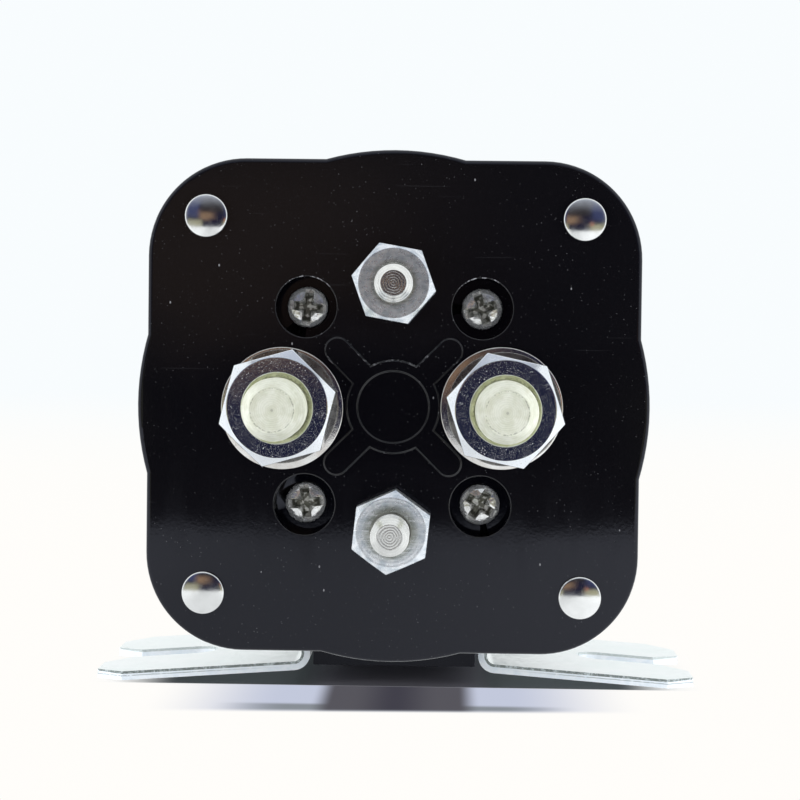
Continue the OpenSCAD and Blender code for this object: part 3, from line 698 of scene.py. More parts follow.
@dataclass(frozen=True)
class MirrorFloor:
    """White floor with the relay's dark mirror image and shadow, as the camera sees them.

    Spans run from where a mask is 0 to where it is 1, across or along, in millimetres.
    """

    name: str
    near: Colour
    far: Colour
    middle_x: float = 0.5
    under_x: Span = (44.0, 31.0)
    under_back: Span = (30.0, 18.0)
    under_front: Span = (-17.9, -17.2)
    ahead: Span = (-17.0, -17.8)
    image_slope: float = 0.05
    image_shift: float = 0.7
    keel_x: Span = (11.5, 8.5)
    keel_end: Span = (-38.0, -35.0)
    flank_x: Span = (34.0, 15.0)
    flank_end: Span = (-38.5, -35.0)
    band_x: Span = (25.0, 14.0)
    band_y: Span = (-31.5, -34.0)
    bare: Colour = (0.93, 0.93, 0.97)
    shadow: Colour = (0.095, 0.105, 0.112)
    shadow_middle: Colour = (0.22, 0.215, 0.25)
    flank: Colour = (0.52, 0.56, 0.70)
    band: Colour = (0.22, 0.24, 0.26)
    keel: Colour = (0.055, 0.053, 0.070)
    keel_side: Colour = (0.095, 0.092, 0.108)
    pale: Colour = (0.93, 0.93, 0.95)
    sheen: Colour = (0.95, 0.98, 1.0)

    def paint(self) -> bpy.types.Material:
        """Builds the material.

        Returns:
            The finished material.
        """
        g = Graph(self.name)
        across, along, _ = g.axes(g.millimetres())
        side = (across - self.middle_x).absolute()
        under = side.ramp(*self.under_x)
        for end in (self.under_back, self.under_front):
            under = under * along.ramp(*end)
        ahead = along.ramp(*self.ahead)
        reach = along - self.image_slope * across + self.image_shift
        # Painted image and shadow: dark keel, lavender shade beside it, the head's shadow band.
        keel = side.ramp(*self.keel_x) * ahead * reach.ramp(*self.keel_end)
        flank = side.ramp(*self.flank_x) * ahead * reach.ramp(*self.flank_end)
        band = side.ramp(*self.band_x) * reach.ramp(*self.keel_end) * along.ramp(*self.band_y)
        # Under the bracket the floor's own colour is painted dark as shadow, less dark in the
        # middle.
        deep = g.mix(side.ramp(14, 9), self.shadow, self.shadow_middle)
        matt = g.wired("ShaderNodeBsdfDiffuse", {"Color": g.mix(under, self.bare, deep)})
        bright = g.mix(along.ramp(100, 1500), self.near, self.far)
        image = g.mix(band * 0.9, g.mix(flank * 0.95, bright, self.flank), self.band)
        image = g.mix(keel, image, g.mix(side.ramp(0, 6), self.keel, self.keel_side))
        white = g.wired("ShaderNodeEmission", {"Color": image})
        seen = g.wired("ShaderNodeMixShader", {0: under, 1: white, 2: matt})
        # Painted light: the floor seen in reflections glows brighter to the right and at the far
        # left.
        level = 0.8 + 0.32 * across.ramp(-20, 60) + 0.22 * across.ramp(-30, -75)
        sheen = g.wired("ShaderNodeEmission", {"Color": opaque(self.sheen), "Strength": level})
        pale = g.wired("ShaderNodeBsdfDiffuse", {"Color": opaque(self.pale)})
        return g.by_ray(seen, sheen, pale)


@dataclass(frozen=True)
class DarkRoom:
    """Tones of the unlit room: what the polished head, the nuts and the rivets mirror."""

    name: str
    night: Colour = (0.012, 0.013, 0.034)
    cream: Colour = (0.36, 0.35, 0.24)
    blue: Colour = (0.045, 0.055, 0.13)
    wall: Colour = (0.26, 0.17, 0.11)
    spot: Colour = (0.55, 0.20, 0.12)
    beam: Colour = (0.030, 0.027, 0.030)
    ceiling: Colour = (0.50, 0.54, 0.62)
    border: Colour = (0.42, 0.44, 0.48)

    def paint(self) -> bpy.types.Material:
        """Builds the material.

        Returns:
            The finished material.
        """
        g = Graph(self.name)
        place = g.millimetres()
        across, _, height = g.axes(place)
        u = across + 60 * (g.noise(place, 0.013, 2) - 0.5)
        v = height + 60 * (g.noise(g.millimetres(Vector((0.3, 0, 0))), 0.016, 2) - 0.5)
        away = (u + 4).absolute()
        wall = u.ramp(-130, -70) * u.ramp(45, -55) * v.ramp(36, 64) * v.ramp(135, 85)
        spot = (((u - 88) ** 2 + (v - 50) ** 2) ** 0.5).ramp(17, 7)
        tone = g.mix(v.ramp(60, 30) * away.ramp(58, 95), self.night, self.cream)
        for mask, colour in (
            (away.ramp(60, 120) * v.ramp(45, 90), self.blue),
            (wall, self.wall),
            (spot, self.spot),
            (height.ramp(80, 120) * away.ramp(110, 60), self.beam),
            (v.ramp(120, 300), self.ceiling),
            (across.absolute().ramp(170, 300), self.border),
        ):
            tone = g.mix(mask, tone, colour)
        self_lit = g.wired("ShaderNodeEmission", {"Color": tone})
        g.node("ShaderNodeOutputMaterial", {}, {"Surface": self_lit})
        return g.material


@dataclass
class Bench:
    """Where pieces are made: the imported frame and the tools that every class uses."""

    frame: dict

    def face_y(self) -> float:
        """Place along Y of the head's terminal face, from the washer that lies on it."""
        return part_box("load_washer_left")[1].y

    def heights(self, node: str) -> Span:
        """Lower and upper end of a node above the terminal face.

        Args:
            node: Name of the node.

        Returns:
            The two heights, in millimetres.
        """
        low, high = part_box(node)
        face = self.face_y()
        return (face - high.y) / MM, (face - low.y) / MM

    def axis(self, node: str) -> Vector:
        """Point where a node's own axis meets the terminal face.

        Args:
            node: Name of the node.

        Returns:
            The point, in metres.
        """
        low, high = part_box(node)
        middle = (low + high) / 2
        return Vector((middle.x, self.face_y(), middle.z))

    def corners(self, node: str, head_d: float) -> list[Vector]:
        """Axes of the four heads that stand in the corners of a node's box.

        Args:
            node: Name of the node.
            head_d: Diameter of a head, in millimetres.

        Returns:
            Points on the terminal face in metres, left to right and top to bottom.
        """
        low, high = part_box(node)
        inset = head_d / 2 * MM
        return [
            Vector((x, self.face_y(), z))
            for z in (high.z - inset, low.z + inset)
            for x in (low.x + inset, high.x - inset)
        ]

    def out_of_face(self, origin: Vector) -> Matrix:
        """Matrix that stands a shape made along +Z on the face, pointing out of it.

        Args:
            origin: Point on the face.

        Returns:
            The matrix, from millimetres to the row frame in metres.
        """
        return Matrix.Translation(origin) @ UPRIGHT @ Matrix.Scale(MM, 4)

    def node_copy(self, node: str, joined: bool = True) -> bmesh.types.BMesh:
        """Merged copy of a node's mesh.

        Args:
            node: Name of the node.
            joined: True to join the triangles of a flat face.

        Returns:
            The copy, in metres in the row frame.
        """
        shape = bmesh.new()
        shape.from_mesh(self.frame["nodes"][node].data)
        bmesh.ops.remove_doubles(shape, verts=shape.verts, dist=WELD)
        if joined:
            bmesh.ops.dissolve_limit(
                shape, angle_limit=math.radians(FLAT_DEG), verts=shape.verts, edges=shape.edges
            )
        return shape

    def gathered(self, parts: Iterable[bmesh.types.BMesh]) -> bmesh.types.BMesh:
        """Puts several shapes into one.

        Args:
            parts: Shapes that are used up.

        Returns:
            All of them as one shape.
        """
        whole = bmesh.new()
        for part in parts:
            mesh = bpy.data.meshes.new("part")
            part.to_mesh(mesh)
            part.free()
            whole.from_mesh(mesh)
            bpy.data.meshes.remove(mesh)
        return whole

    def turned(self, profile: Profile, steps: int = 96) -> bmesh.types.BMesh:
        """Spins a half profile round Z.

        Args:
            profile: Points of radius and height in millimetres; it starts and ends on the
                axis, or comes back to its first point.
            steps: Faces round the turn.

        Returns:
            The closed shape, in millimetres.
        """
        shape = bmesh.new()
        verts = [shape.verts.new((r, 0, z)) for r, z in profile]
        edges = [shape.edges.new(pair) for pair in zip(verts, verts[1:])]
        bmesh.ops.spin(
            shape, geom=[*verts, *edges], cent=(0, 0, 0), axis=(0, 0, 1), angle=2 * math.pi,
            steps=steps, use_merge=True,
        )
        bmesh.ops.remove_doubles(shape, verts=shape.verts, dist=WELD_MM)
        bmesh.ops.recalc_face_normals(shape, faces=shape.faces)
        return shape

    def loose(self, shape: bmesh.types.BMesh, name: str = "cutter") -> bpy.types.Object:
        """Makes a plain object of a shape, without a material or a body.

        Args:
            shape: Shape that is used up.
            name: Name of the object.

        Returns:
            The object, linked to the scene.
        """
        mesh = bpy.data.meshes.new(name)
        shape.to_mesh(mesh)
        shape.free()
        made = bpy.data.objects.new(name, mesh)
        bpy.context.scene.collection.objects.link(made)
        return made

    def carve(
        self, body: bmesh.types.BMesh, tools: Iterable[tuple[Cut, bmesh.types.BMesh]]
    ) -> bmesh.types.BMesh:
        """Joins, cuts or limits a shape by others, one after another.

        Args:
            body: Shape that is worked on.
            tools: Pairs of a cut and the shape that makes it.

        Returns:
            The result, in the units of the shapes.
        """
        target = self.loose(body, "blank")
        cutters = [(how, self.loose(shape)) for how, shape in tools]
        for how, cutter in cutters:
            step = target.modifiers.new("cut", "BOOLEAN")
            step.operation = how.value
            step.solver = "EXACT"
            step.object = cutter
        depsgraph = bpy.context.evaluated_depsgraph_get()
        result = bmesh.new()
        result.from_mesh(target.evaluated_get(depsgraph).data)
        for used in [target, *(cutter for _, cutter in cutters)]:
            mesh = used.data
            bpy.data.objects.remove(used)
            bpy.data.meshes.remove(mesh)
        bmesh.ops.remove_doubles(result, verts=result.verts, dist=WELD_MM)
        return result

    def piece(
        self,
        name: str,
        shape: bmesh.types.BMesh,
        materials: Sequence[bpy.types.Material],
        slot: str,
        stands_for: Sequence[str] = (),
        soften: float = 0.0,
        body: str = HOUSING,
        sharp: float = 32.0,
    ) -> bpy.types.Object:
        """Finishes a shape as a piece of the relay.

        Args:
            name: Name of the piece.
            shape: Mesh in metres, in the row frame.
            materials: Materials in the order of the mesh's material indices.
            slot: The record's material slot; not used.
            stands_for: Nodes that the piece replaces.
            soften: Width of the rounding on its sharp edges, in millimetres.
            body: Body that it rides on.
            sharp: Angle in degrees above which an edge counts as sharp.

        Returns:
            The piece.
        """
        for face in shape.faces:
            face.smooth = True
        made = self.loose(shape, name)
        made.data.set_sharp_from_angle(angle=math.radians(sharp))
        for material in materials:
            made.data.materials.append(material)
        if soften:
            rounding = made.modifiers.new("rounding", "BEVEL")
            rounding.width = soften * MM
            rounding.segments = 3
            rounding.limit_method = "ANGLE"
            rounding.angle_limit = math.radians(sharp)
            rounding.harden_normals = True
            rounding.miter_outer = "MITER_ARC"
            rounding.material = -1
        facing = made.modifiers.new("facing", "WEIGHTED_NORMAL")
        facing.keep_sharp = True
        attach(made, body)
        if stands_for:
            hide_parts(*stands_for)
        log.info("%s: %d faces", name, len(made.data.polygons))
        return made

    def dress(self, node: str, material: bpy.types.Material) -> None:
        """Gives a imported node's own mesh a finish.

        Args:
            node: Name of the node.
            material: Material that fills its slots.
        """
        shown = self.frame["nodes"][node]
        if not shown.material_slots:
            shown.data.materials.append(material)
        for place in shown.material_slots:
            place.material = material
        log.info("%s: dressed as %s", node, material.name)


@dataclass
class Moulding:
    """The head and the coil case, both moulded in black phenolic, and their gasket."""

    bench: Bench
    edge_r: float = 0.13
    relief_h: float = 0.6
    relief_reach: float = 24.0
    sharp: float = 40.0

    def round_relief(self, shape: bmesh.types.BMesh) -> None:
        """Rounds the edges of the centre pad, the counterbores and the holes in the face.

        Args:
            shape: The head, in metres in the row frame.
        """
        low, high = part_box("head")
        middle = (low + high) / 2
        face = self.bench.face_y()
        reach = self.relief_reach * MM
        chosen = [
            edge for edge in shape.edges
            if len(edge.link_faces) == 2
            and edge.calc_face_angle(0) > math.radians(self.sharp)
            and all(
                abs(v.co.y - face) < self.relief_h * MM
                and math.hypot(v.co.x - middle.x, v.co.z - middle.z) < reach
                for v in edge.verts
            )
        ]
        bmesh.ops.bevel(
            shape, geom=chosen, offset=self.edge_r * MM, segments=3, profile=0.5,
            affect="EDGES", material=1, clamp_overlap=False,
        )

    def build(self) -> None:
        """Builds the mouldings from merged copies of their nodes."""
        skin = Phenolic("head_skin").paint()
        coarse = Phenolic(
            "case_skin", (0.004, 0.004, 0.005), roughness=0.2, dull=0.2, ripple=0.02, dust=0.3,
            ior=1.3,
        ).paint()
        head = self.bench.node_copy("head")
        self.round_relief(head)
        # The rounded edges of the face get the material with painted glints.
        glinted_edge = GlintedEdge("head_edge_with_painted_glints", self.bench.axis("head")).paint()
        self.bench.piece("head_moulding", head, [skin, glinted_edge], "head_phenolic", ["head"])
        self.bench.piece(
            "case_moulding", self.bench.node_copy("coil_case"), [coarse], "case_phenolic",
            ["coil_case"],
        )
        fibre = Moulded("gasket_fibre", (0.035, 0.03, 0.026), roughness=0.8, grain=0.03).paint()
        self.bench.dress("gasket", fibre)


@dataclass
class Thread:
    """A thread cut on a stud, whose tip is lead times as long as its chamfer is wide.

    turn_profile is one turn of the thread: 0 at the root and 1 at the crest, against the
    share of the pitch.
    """

    outer_d: float
    pitch: float
    steps: int = 72
    lead: float = 1.0
    skin: float = 0.02
    root_share: float = 0.5
    shoulder_share: float = 0.25
    turn_profile: Profile = ((0, 0.0), (0, 0.1), (1, 0.44), (1, 0.58), (0, 0.92), (0, 1.0))

    def rod(self, bench: Bench, low: float, high: float, chamfer: float) -> bmesh.types.BMesh:
        """Threaded rod with a chamfered tip.

        Args:
            bench: Where the shape is made.
            low: Lower end.
            high: Tip.
            chamfer: Width of the tip's chamfer.

        Returns:
            The closed shape, in millimetres, along Z.
        """
        crest = self.outer_d / 2
        depth = self.root_share * self.pitch
        turns = math.ceil((high - low) / self.pitch) + 2
        shape = bmesh.new()
        verts = [
            shape.verts.new((crest - depth * (1 - out), 0, low + (share - 1) * self.pitch))
            for out, share in self.turn_profile
        ]
        edges = [shape.edges.new(pair) for pair in zip(verts, verts[1:])]
        bmesh.ops.spin(
            shape, geom=[*verts, *edges], cent=(0, 0, 0), axis=(0, 0, 1),
            dvec=(0, 0, self.pitch / self.steps), angle=2 * math.pi * turns,
            steps=self.steps * turns,
        )
        bmesh.ops.remove_doubles(shape, verts=shape.verts, dist=WELD_MM)
        for height, keep_below in ((low, False), (high, True)):
            bmesh.ops.bisect_plane(
                shape, geom=[*shape.verts, *shape.edges, *shape.faces], plane_co=(0, 0, height),
                plane_no=(0, 0, 1), clear_outer=keep_below, clear_inner=not keep_below,
            )
        bmesh.ops.edgeloop_fill(shape, edges=[edge for edge in shape.edges if edge.is_boundary])
        bmesh.ops.recalc_face_normals(shape, faces=shape.faces)
        taper = high - self.lead * chamfer
        sunk = 2 * self.skin
        limits = bench.turned(
            self.pointed(low - 1, taper - sunk, high - sunk, crest + self.skin, chamfer)
        )
        shoulder = taper - self.shoulder_share * self.pitch
        tip = bench.turned(self.pointed(shoulder, taper, high, crest + sunk, chamfer))
        return bench.carve(shape, [(Cut.SHARED, limits), (Cut.TOGETHER, tip)])

    def pointed(
        self, low: float, taper: float, high: float, radius: float, chamfer: float
    ) -> list[tuple[float, float]]:
        """Half profile of a round bar that narrows to its upper end.

        Args:
            low: Lower end.
            taper: Height where it starts to narrow.
            high: Upper end.
            radius: Radius below the taper.
            chamfer: How much the radius shrinks.

        Returns:
            Points of radius and height.
        """
        return [(0, low), (radius, low), (radius, taper), (radius - chamfer, high), (0, high)]


@dataclass
class Terminal:
    """One stud and its hexagon nut."""

    bench: Bench
    name: str
    stud: str
    nut: str
    thread: Thread
    tip_chamfer: float
    nut_af: float
    nut_turn: float
    nut_chamfer: float
    nut_mouth: float
    mouth_slope: float
    stud_slot: str
    nut_slot: str
    thread_start: float = 0.2
    cone_slope: float = 0.58
    cone_over: float = 0.2
    bore_play: float = 0.04
    mouth_over: float = 1.0
    nut_edge: float = 0.1

    def build(
        self, stud_finish: TurnedPlating, nut_finish: bpy.types.Material,
        mouth_finish: bpy.types.Material,
    ) -> None:
        """Builds the stud and its nut.

        Args:
            stud_finish: Finish of the stud, turned about the stud's own axis.
            nut_finish: Material of the nut.
            mouth_finish: Material of the nut's bore and countersink.
        """
        place = self.bench.out_of_face(self.bench.axis(self.stud))
        self.make_nut(place, nut_finish, mouth_finish)
        self.make_stud(place, stud_finish.paint())

    def make_stud(self, place: Matrix, finish: bpy.types.Material) -> None:
        """Makes the stud: inner head and plain shank as packed, and a cut thread.

        Args:
            place: Matrix from the stud's own millimetres to the row frame.
            finish: Material of the stud.
        """
        nut_low, _ = self.bench.heights(self.nut)
        _, tip = self.bench.heights(self.stud)
        shape = self.bench.node_copy(self.stud)
        shape.transform(place.inverted())
        keep = bmesh.ops.bisect_plane(
            shape, geom=[*shape.verts, *shape.edges, *shape.faces], plane_co=(0, 0, nut_low),
            plane_no=(0, 0, 1), clear_outer=True,
        )
        rim = [item for item in keep["geom_cut"] if isinstance(item, bmesh.types.BMEdge)]
        bmesh.ops.edgeloop_fill(shape, edges=rim)
        rod = self.thread.rod(self.bench, nut_low - self.thread_start, tip, self.tip_chamfer)
        whole = self.bench.carve(rod, [(Cut.TOGETHER, shape)])
        whole.transform(place)
        self.bench.piece(
            f"{self.name}_threaded_stud", whole, [finish], self.stud_slot, [self.stud], sharp=24
        )

    def make_nut(
        self, place: Matrix, finish: bpy.types.Material, mouth_finish: bpy.types.Material
    ) -> None:
        """Makes the nut: a hexagon cut by a cone at each end, with a countersunk mouth.

        Args:
            place: Matrix from the stud's own millimetres to the row frame.
            finish: Material of the nut.
            mouth_finish: Material of its bore and countersink.
        """
        low, high = self.bench.heights(self.nut)
        corner = self.nut_af / math.cos(math.radians(30)) / 2
        shape = bmesh.new()
        bmesh.ops.create_cone(
            shape, cap_ends=True, segments=6, radius1=corner, radius2=corner, depth=high - low
        )
        turn = Matrix.Rotation(math.radians(self.nut_turn + 30), 4, "Z")
        shape.transform(Matrix.Translation((0, 0, (low + high) / 2)) @ turn)
        wide = corner + self.cone_over
        flat = corner - self.nut_chamfer
        drop = self.cone_slope * (wide - flat)
        lower = [(0, low), (flat, low), (wide, low + drop)]
        upper = [(wide, high - drop), (flat, high), (0, high)]
        cone = self.bench.turned([*lower, *upper])
        bore = self.thread.outer_d / 2 + self.bore_play
        mouth = self.nut_mouth / 2
        fall = math.tan(math.radians(self.mouth_slope))
        start = high - (mouth - bore) * fall
        end = high + self.mouth_over * fall
        hole = self.bench.turned(
            [(0, low - 1), (bore, low - 1), (bore, start), (mouth + self.mouth_over, end), (0, end)]
        )
        nut = self.bench.carve(shape, [(Cut.SHARED, cone), (Cut.AWAY, hole)])
        for face in nut.faces:
            if all(math.hypot(v.co.x, v.co.y) < mouth + self.bore_play / 2 for v in face.verts):
                face.material_index = 1
        nut.transform(place)
        self.bench.piece(
            f"{self.name}_hex_nut", nut, [finish, mouth_finish], self.nut_slot, [self.nut],
            self.nut_edge, sharp=18,
        )


@dataclass(frozen=True)
class CoilEnd:
    """What differs between the upper and the lower coil terminal."""

    end: str
    nut_turn: float
    stud_colour: Colour
    stud_metallic: float
    nut_mouth: float
    nut_metallic: float
    mouth_shade_r: float


@dataclass
class TerminalSet:
    """The two load terminals and the two coil terminals."""

    bench: Bench
    washer_bore: float = 8.8
    roll_w: float = 1.7
    roll_h: float = 0.14
    edge_r: float = 0.14
    burr_w: float = 0.05
    edge_w: float = 0.1
    load_turns: tuple[tuple[str, float], ...] = (("left", 16.0), ("right", 48.0))
    coil_ends: tuple[CoilEnd, ...] = (
        CoilEnd("top", 50.0, (0.86, 0.85, 0.82), 1.0, 5.2, 0.9, 3.4),
        CoilEnd("bottom", 24.0, (0.72, 0.72, 0.70), 0.8, 5.5, 0.8, 4.0),
    )

    def build(self) -> None:
        """Builds the studs, the nuts and the washers."""
        self.build_load()
        self.build_coil()
        self.build_washers()

    def build_load(self) -> None:
        """Builds the two load terminals."""
        nut = Plating(
            "nut_zinc", (0.86, 0.89, 0.93), (0.92, 0.94, 0.97), roughness=0.06, wear=0.07,
            blotch=0.5, pit_scale=3.2, sparkle=0.6,
        ).paint()
        thread = Thread(outer_d=7.7, pitch=1.25, lead=1.7)
        for side, turn in self.load_turns:
            stud = f"load_stud_{side}"
            centre = self.bench.axis(stud)
            finish = TurnedPlating(
                f"stud_zinc_{side}", (0.72, 0.73, 0.59), (0.86, 0.87, 0.76), centre, roughness=0.3,
                ring_pitch=0.26, ring_depth=0.018, metallic=0.5, dark_ring_r=2.65,
            )
            mouth = TurnedPlating(
                f"nut_mouth_chromate_{side}", (0.56, 0.58, 0.36), (0.80, 0.82, 0.60), centre,
                roughness=0.35, ring_pitch=0.5, ring_depth=0.015, metallic=0.6, ring_tint=0.3,
                # The dark ring here is painted shade in the crease between the thread and the
                # countersink.
                dark_ring_r=4.05, dark_ring_w=0.16,
            ).paint()
            Terminal(
                self.bench, f"load_{side}", stud, f"load_nut_{side}", thread, tip_chamfer=1.1,
                nut_af=13.2, nut_turn=turn, nut_chamfer=1.3, nut_mouth=8.9, mouth_slope=40.0,
                stud_slot="stud_zinc", nut_slot="nut_zinc",
            ).build(finish, nut, mouth)

    def build_coil(self) -> None:
        """Builds the two coil terminals."""
        thread = Thread(outer_d=4.83, pitch=0.79, steps=56)
        for at in self.coil_ends:
            stud = f"coil_stud_{at.end}"
            centre = self.bench.axis(stud)
            finish = TurnedPlating(
                f"coil_stud_nickel_{at.end}", at.stud_colour, shade(at.stud_colour, 1.1), centre,
                roughness=0.18, ring_pitch=0.34, metallic=at.stud_metallic,
            )
            nut = TurnedPlating(
                f"coil_nut_nickel_{at.end}", (0.56, 0.62, 0.68), (0.94, 0.96, 0.99), centre,
                roughness=0.22, ring_pitch=0.5, ring_depth=0.005, metallic=at.nut_metallic,
                # The coil nut is painted darker round its mouth, as shade.
                ring_tint=0.06, mouth_shade_r=at.mouth_shade_r,
            ).paint()
            mouth = Plating(
                f"coil_nut_mouth_{at.end}", (0.5, 0.5, 0.46), (0.7, 0.7, 0.66), roughness=0.4
            ).paint()
            Terminal(
                self.bench, f"coil_{at.end}", stud, f"coil_nut_{at.end}", thread, tip_chamfer=0.8,
                nut_af=9.5, nut_turn=at.nut_turn, nut_chamfer=1.0, nut_mouth=at.nut_mouth,
                mouth_slope=22.0, stud_slot="coil_stud_nickel", nut_slot="coil_nut_nickel",
            ).build(finish, nut, mouth)

    def build_washers(self) -> None:
        """Builds the flat washers and plates copies of the lock washers."""
        flat = Plating(
            "washer_zinc", (0.78, 0.74, 0.70), (0.92, 0.91, 0.89), roughness=0.10, wear=0.08,
            blotch=0.4, pit_scale=4.0, sparkle=0.3,
        ).paint()
        for side in ("left", "right"):
            self.build_rolled(f"load_washer_{side}", flat)
        for slot, colour, tint, roughness, nodes in (
            # The lock washers' colour is darkened as painted shade, for they sit behind the nuts.
            (
                "lock_washer_zinc", (0.26, 0.25, 0.24), (0.44, 0.43, 0.40), 0.24,
                ("lock_washer_left", "lock_washer_right"),
            ),
            (
                "coil_washer_nickel", (0.6, 0.6, 0.58), (0.68, 0.68, 0.66), 0.3,
                ("coil_washer_top", "coil_washer_bottom"),
            ),
        ):
            finish = Plating(slot, colour, tint, roughness, wear=0.1).paint()
            for node in nodes:
                copy = self.bench.node_copy(node)
                self.bench.piece(f"{node}_plated", copy, [finish], slot, [node], self.edge_w)

    def build_rolled(self, node: str, finish: bpy.types.Material) -> None:
        """Makes a flat washer whose face falls to an edge that the blanking rolled over.

        Args:
            node: Name of the washer's node.
            finish: Its material.
        """
        low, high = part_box(node)
        outer = (high.x - low.x) / MM / 2
        thick = (high.y - low.y) / MM
        bore = self.washer_bore / 2
        shoulder = thick - self.roll_h
        edge = [
            (outer - self.edge_r * (1 - math.cos(a)), shoulder - self.edge_r * (1 - math.sin(a)))
            for a in (math.radians(d) for d in range(0, 81, 20))
        ]
        profile = [
            (bore, 0), (outer - self.burr_w, 0), (outer, self.burr_w), *edge,
            (outer - self.roll_w, thick), (bore, thick), (bore, 0),
        ]
        washer = self.bench.turned(profile)
        washer.transform(self.bench.out_of_face(self.bench.axis(node)))
        self.bench.piece(f"{node}_rolled", washer, [finish], "washer_zinc", [node], sharp=40)


@dataclass
class FrameScrews:
    """The four pan-head screws sunk in the head's counterbores."""

    bench: Bench
    head_d: float = 5.4
    head_h: float = 1.9
    shank_d: float = 2.84
    crown: float = 0.38
    recess_span: float = 5.7
    recess_w: float = 1.5
    recess_deep: float = 1.5
    well_r: float = 2.0
    well_end: float = 0.25
    well_lift: float = 0.1
    wing_low: float = 0.3
    wing_high: float = 0.75
    wing_lift: float = 0.4
    round_steps: int = 64
    edge_w: float = 0.06
    turns: tuple[float, float, float, float] = (83.0, 19.0, 6.0, 57.0)
    crown_profile: Profile = (
        (1.0, 2.2), (0.99, 1.6), (0.96, 1.15), (0.9, 0.85), (0.7, 0.5), (0.5, 0.24), (0.25, 0.05),
    )

    def build(self) -> None:
        """Builds the four screws as one piece."""
        tail, top = self.bench.heights("frame_screws")
        seat = top - self.head_h
        screws = []
        for place, turn in zip(self.bench.corners("frame_screws", self.head_d), self.turns):
            screw = self.screw(seat, tail, turn)
            screw.transform(self.bench.out_of_face(place))
            screws.append(screw)
        seat_y = self.bench.face_y() / MM - seat
        finish = SoiledNickel("screw_nickel", seat_y, self.head_h).paint()
        self.bench.piece(
            "frame_screw_heads", self.bench.gathered(screws), [finish], "screw_nickel",
            ["frame_screws"], self.edge_w, sharp=28,
        )

    def screw(self, seat: float, tail: float, turn: float) -> bmesh.types.BMesh:
        """One screw with a crowned head and a cross recess.

        Args:
            seat: Height of the head's underside above the face.
            tail: Height of the shank's end.
            turn: Turn of the recess in degrees.

        Returns:
            The screw, in millimetres, along Z.
        """
        radius = self.head_d / 2
        top = seat + self.head_h
        shank = self.shank_d / 2
        crown = [(share * radius, top - drop * self.crown) for share, drop in self.crown_profile]
        profile = [(0, tail), (shank, tail), (shank, seat), (radius, seat), *crown, (0, top)]
        blank = self.bench.turned(profile, self.round_steps)
        well = self.tapered(self.well_end * self.well_r, self.well_r, self.recess_deep, turn)
        bmesh.ops.translate(
            well, verts=well.verts, vec=(0, 0, top + self.well_lift - self.recess_deep / 2)
        )
        tools = [(Cut.AWAY, well)]
        deep = self.recess_deep + self.wing_lift
        long = self.wing_high * self.recess_span
        for quarter in (0, 90):
            wing = self.tapered(self.wing_low * self.recess_span, long, deep, 45)
            narrow = self.recess_w / (long * math.sqrt(2))
            bmesh.ops.scale(wing, verts=wing.verts, vec=(1, narrow, 1))
            turned = Matrix.Rotation(math.radians(turn + quarter), 3, "Z")
            bmesh.ops.rotate(wing, verts=wing.verts, matrix=turned)
            bmesh.ops.translate(wing, verts=wing.verts, vec=(0, 0, top + self.wing_lift - deep / 2))
            tools.append((Cut.AWAY, wing))
        return self.bench.carve(blank, tools)

    def tapered(self, low_r: float, high_r: float, depth: float, turn: float) -> bmesh.types.BMesh:
        """Four-sided cutter that narrows downwards.

        Args:
            low_r: Radius over its lower corners.
            high_r: Radius over its upper corners.
            depth: Height.
            turn: Turn about Z in degrees.

        Returns:
            The cutter, round the origin.
        """
        cutter = bmesh.new()
        bmesh.ops.create_cone(
            cutter, cap_ends=True, segments=4, radius1=low_r, radius2=high_r, depth=depth
        )
        turned = Matrix.Rotation(math.radians(turn), 3, "Z")
        bmesh.ops.rotate(cutter, verts=cutter.verts, matrix=turned)
        return cutter


@dataclass
class CornerRivets:
    """The four rivets that hold head, gasket and case together."""

    bench: Bench
    head_d: float = 5.6
    head_h: float = 0.85
    shank_d: float = 3.2
    dome_r: float = 10.6
    rim_r: float = 0.32
    end_d: float = 5.2
    end_h: float = 1.2
    end_edge: float = 0.5
    round_steps: int = 80
    rim_steps: int = 8
    dome_steps: int = 12

    def build(self) -> None:
        """Builds the rivets as one piece."""
        tail, _ = self.bench.heights("corner_rivets")
        rivets = []
        for place in self.bench.corners("corner_rivets", self.head_d):
            rivet = self.bench.turned(self.profile(tail), self.round_steps)
            rivet.transform(self.bench.out_of_face(place))
            rivets.append(rivet)
        finish = Plating(
            "rivet_nickel", (0.86, 0.86, 0.85), (0.94, 0.94, 0.93), roughness=0.12, wear=0.06,
            blotch=0.5, pits=0.002, pit_scale=3.0,
        ).paint()
        self.bench.piece(
            "corner_rivet_set", self.bench.gathered(rivets), [finish], "rivet_nickel",
            ["corner_rivets"], sharp=40,
        )

    def profile(self, tail: float) -> list[tuple[float, float]]:
        """Half profile: upset end, shank, rounded edge and shallow crown.

        Args:
            tail: Height of the upset end above the face.

        Returns:
            Points of radius and height.
        """
        radius = self.head_d / 2
        shank = self.shank_d / 2
        rim_x = radius - self.rim_r
        dome_z = self.head_h - self.dome_r
        rim_z = dome_z + math.sqrt((self.dome_r - self.rim_r) ** 2 - rim_x**2)
        slope = math.asin(rim_x / (self.dome_r - self.rim_r))
        points = [
            (0, tail), (self.end_d / 2 - self.end_edge, tail), (self.end_d / 2, tail + self.end_h),
            (shank, tail + self.end_h), (shank, 0), (radius, 0),
        ]
        rim = [(math.pi / 2 - slope) * step / self.rim_steps for step in range(self.rim_steps + 1)]
        dome = [
            math.pi / 2 - slope * (1 - step / self.dome_steps)
            for step in range(1, self.dome_steps + 1)
        ]
        for x, z, r, turns in ((rim_x, rim_z, self.rim_r, rim), (0, dome_z, self.dome_r, dome)):
            points += [(x + r * math.cos(turn), z + r * math.sin(turn)) for turn in turns]
        return points


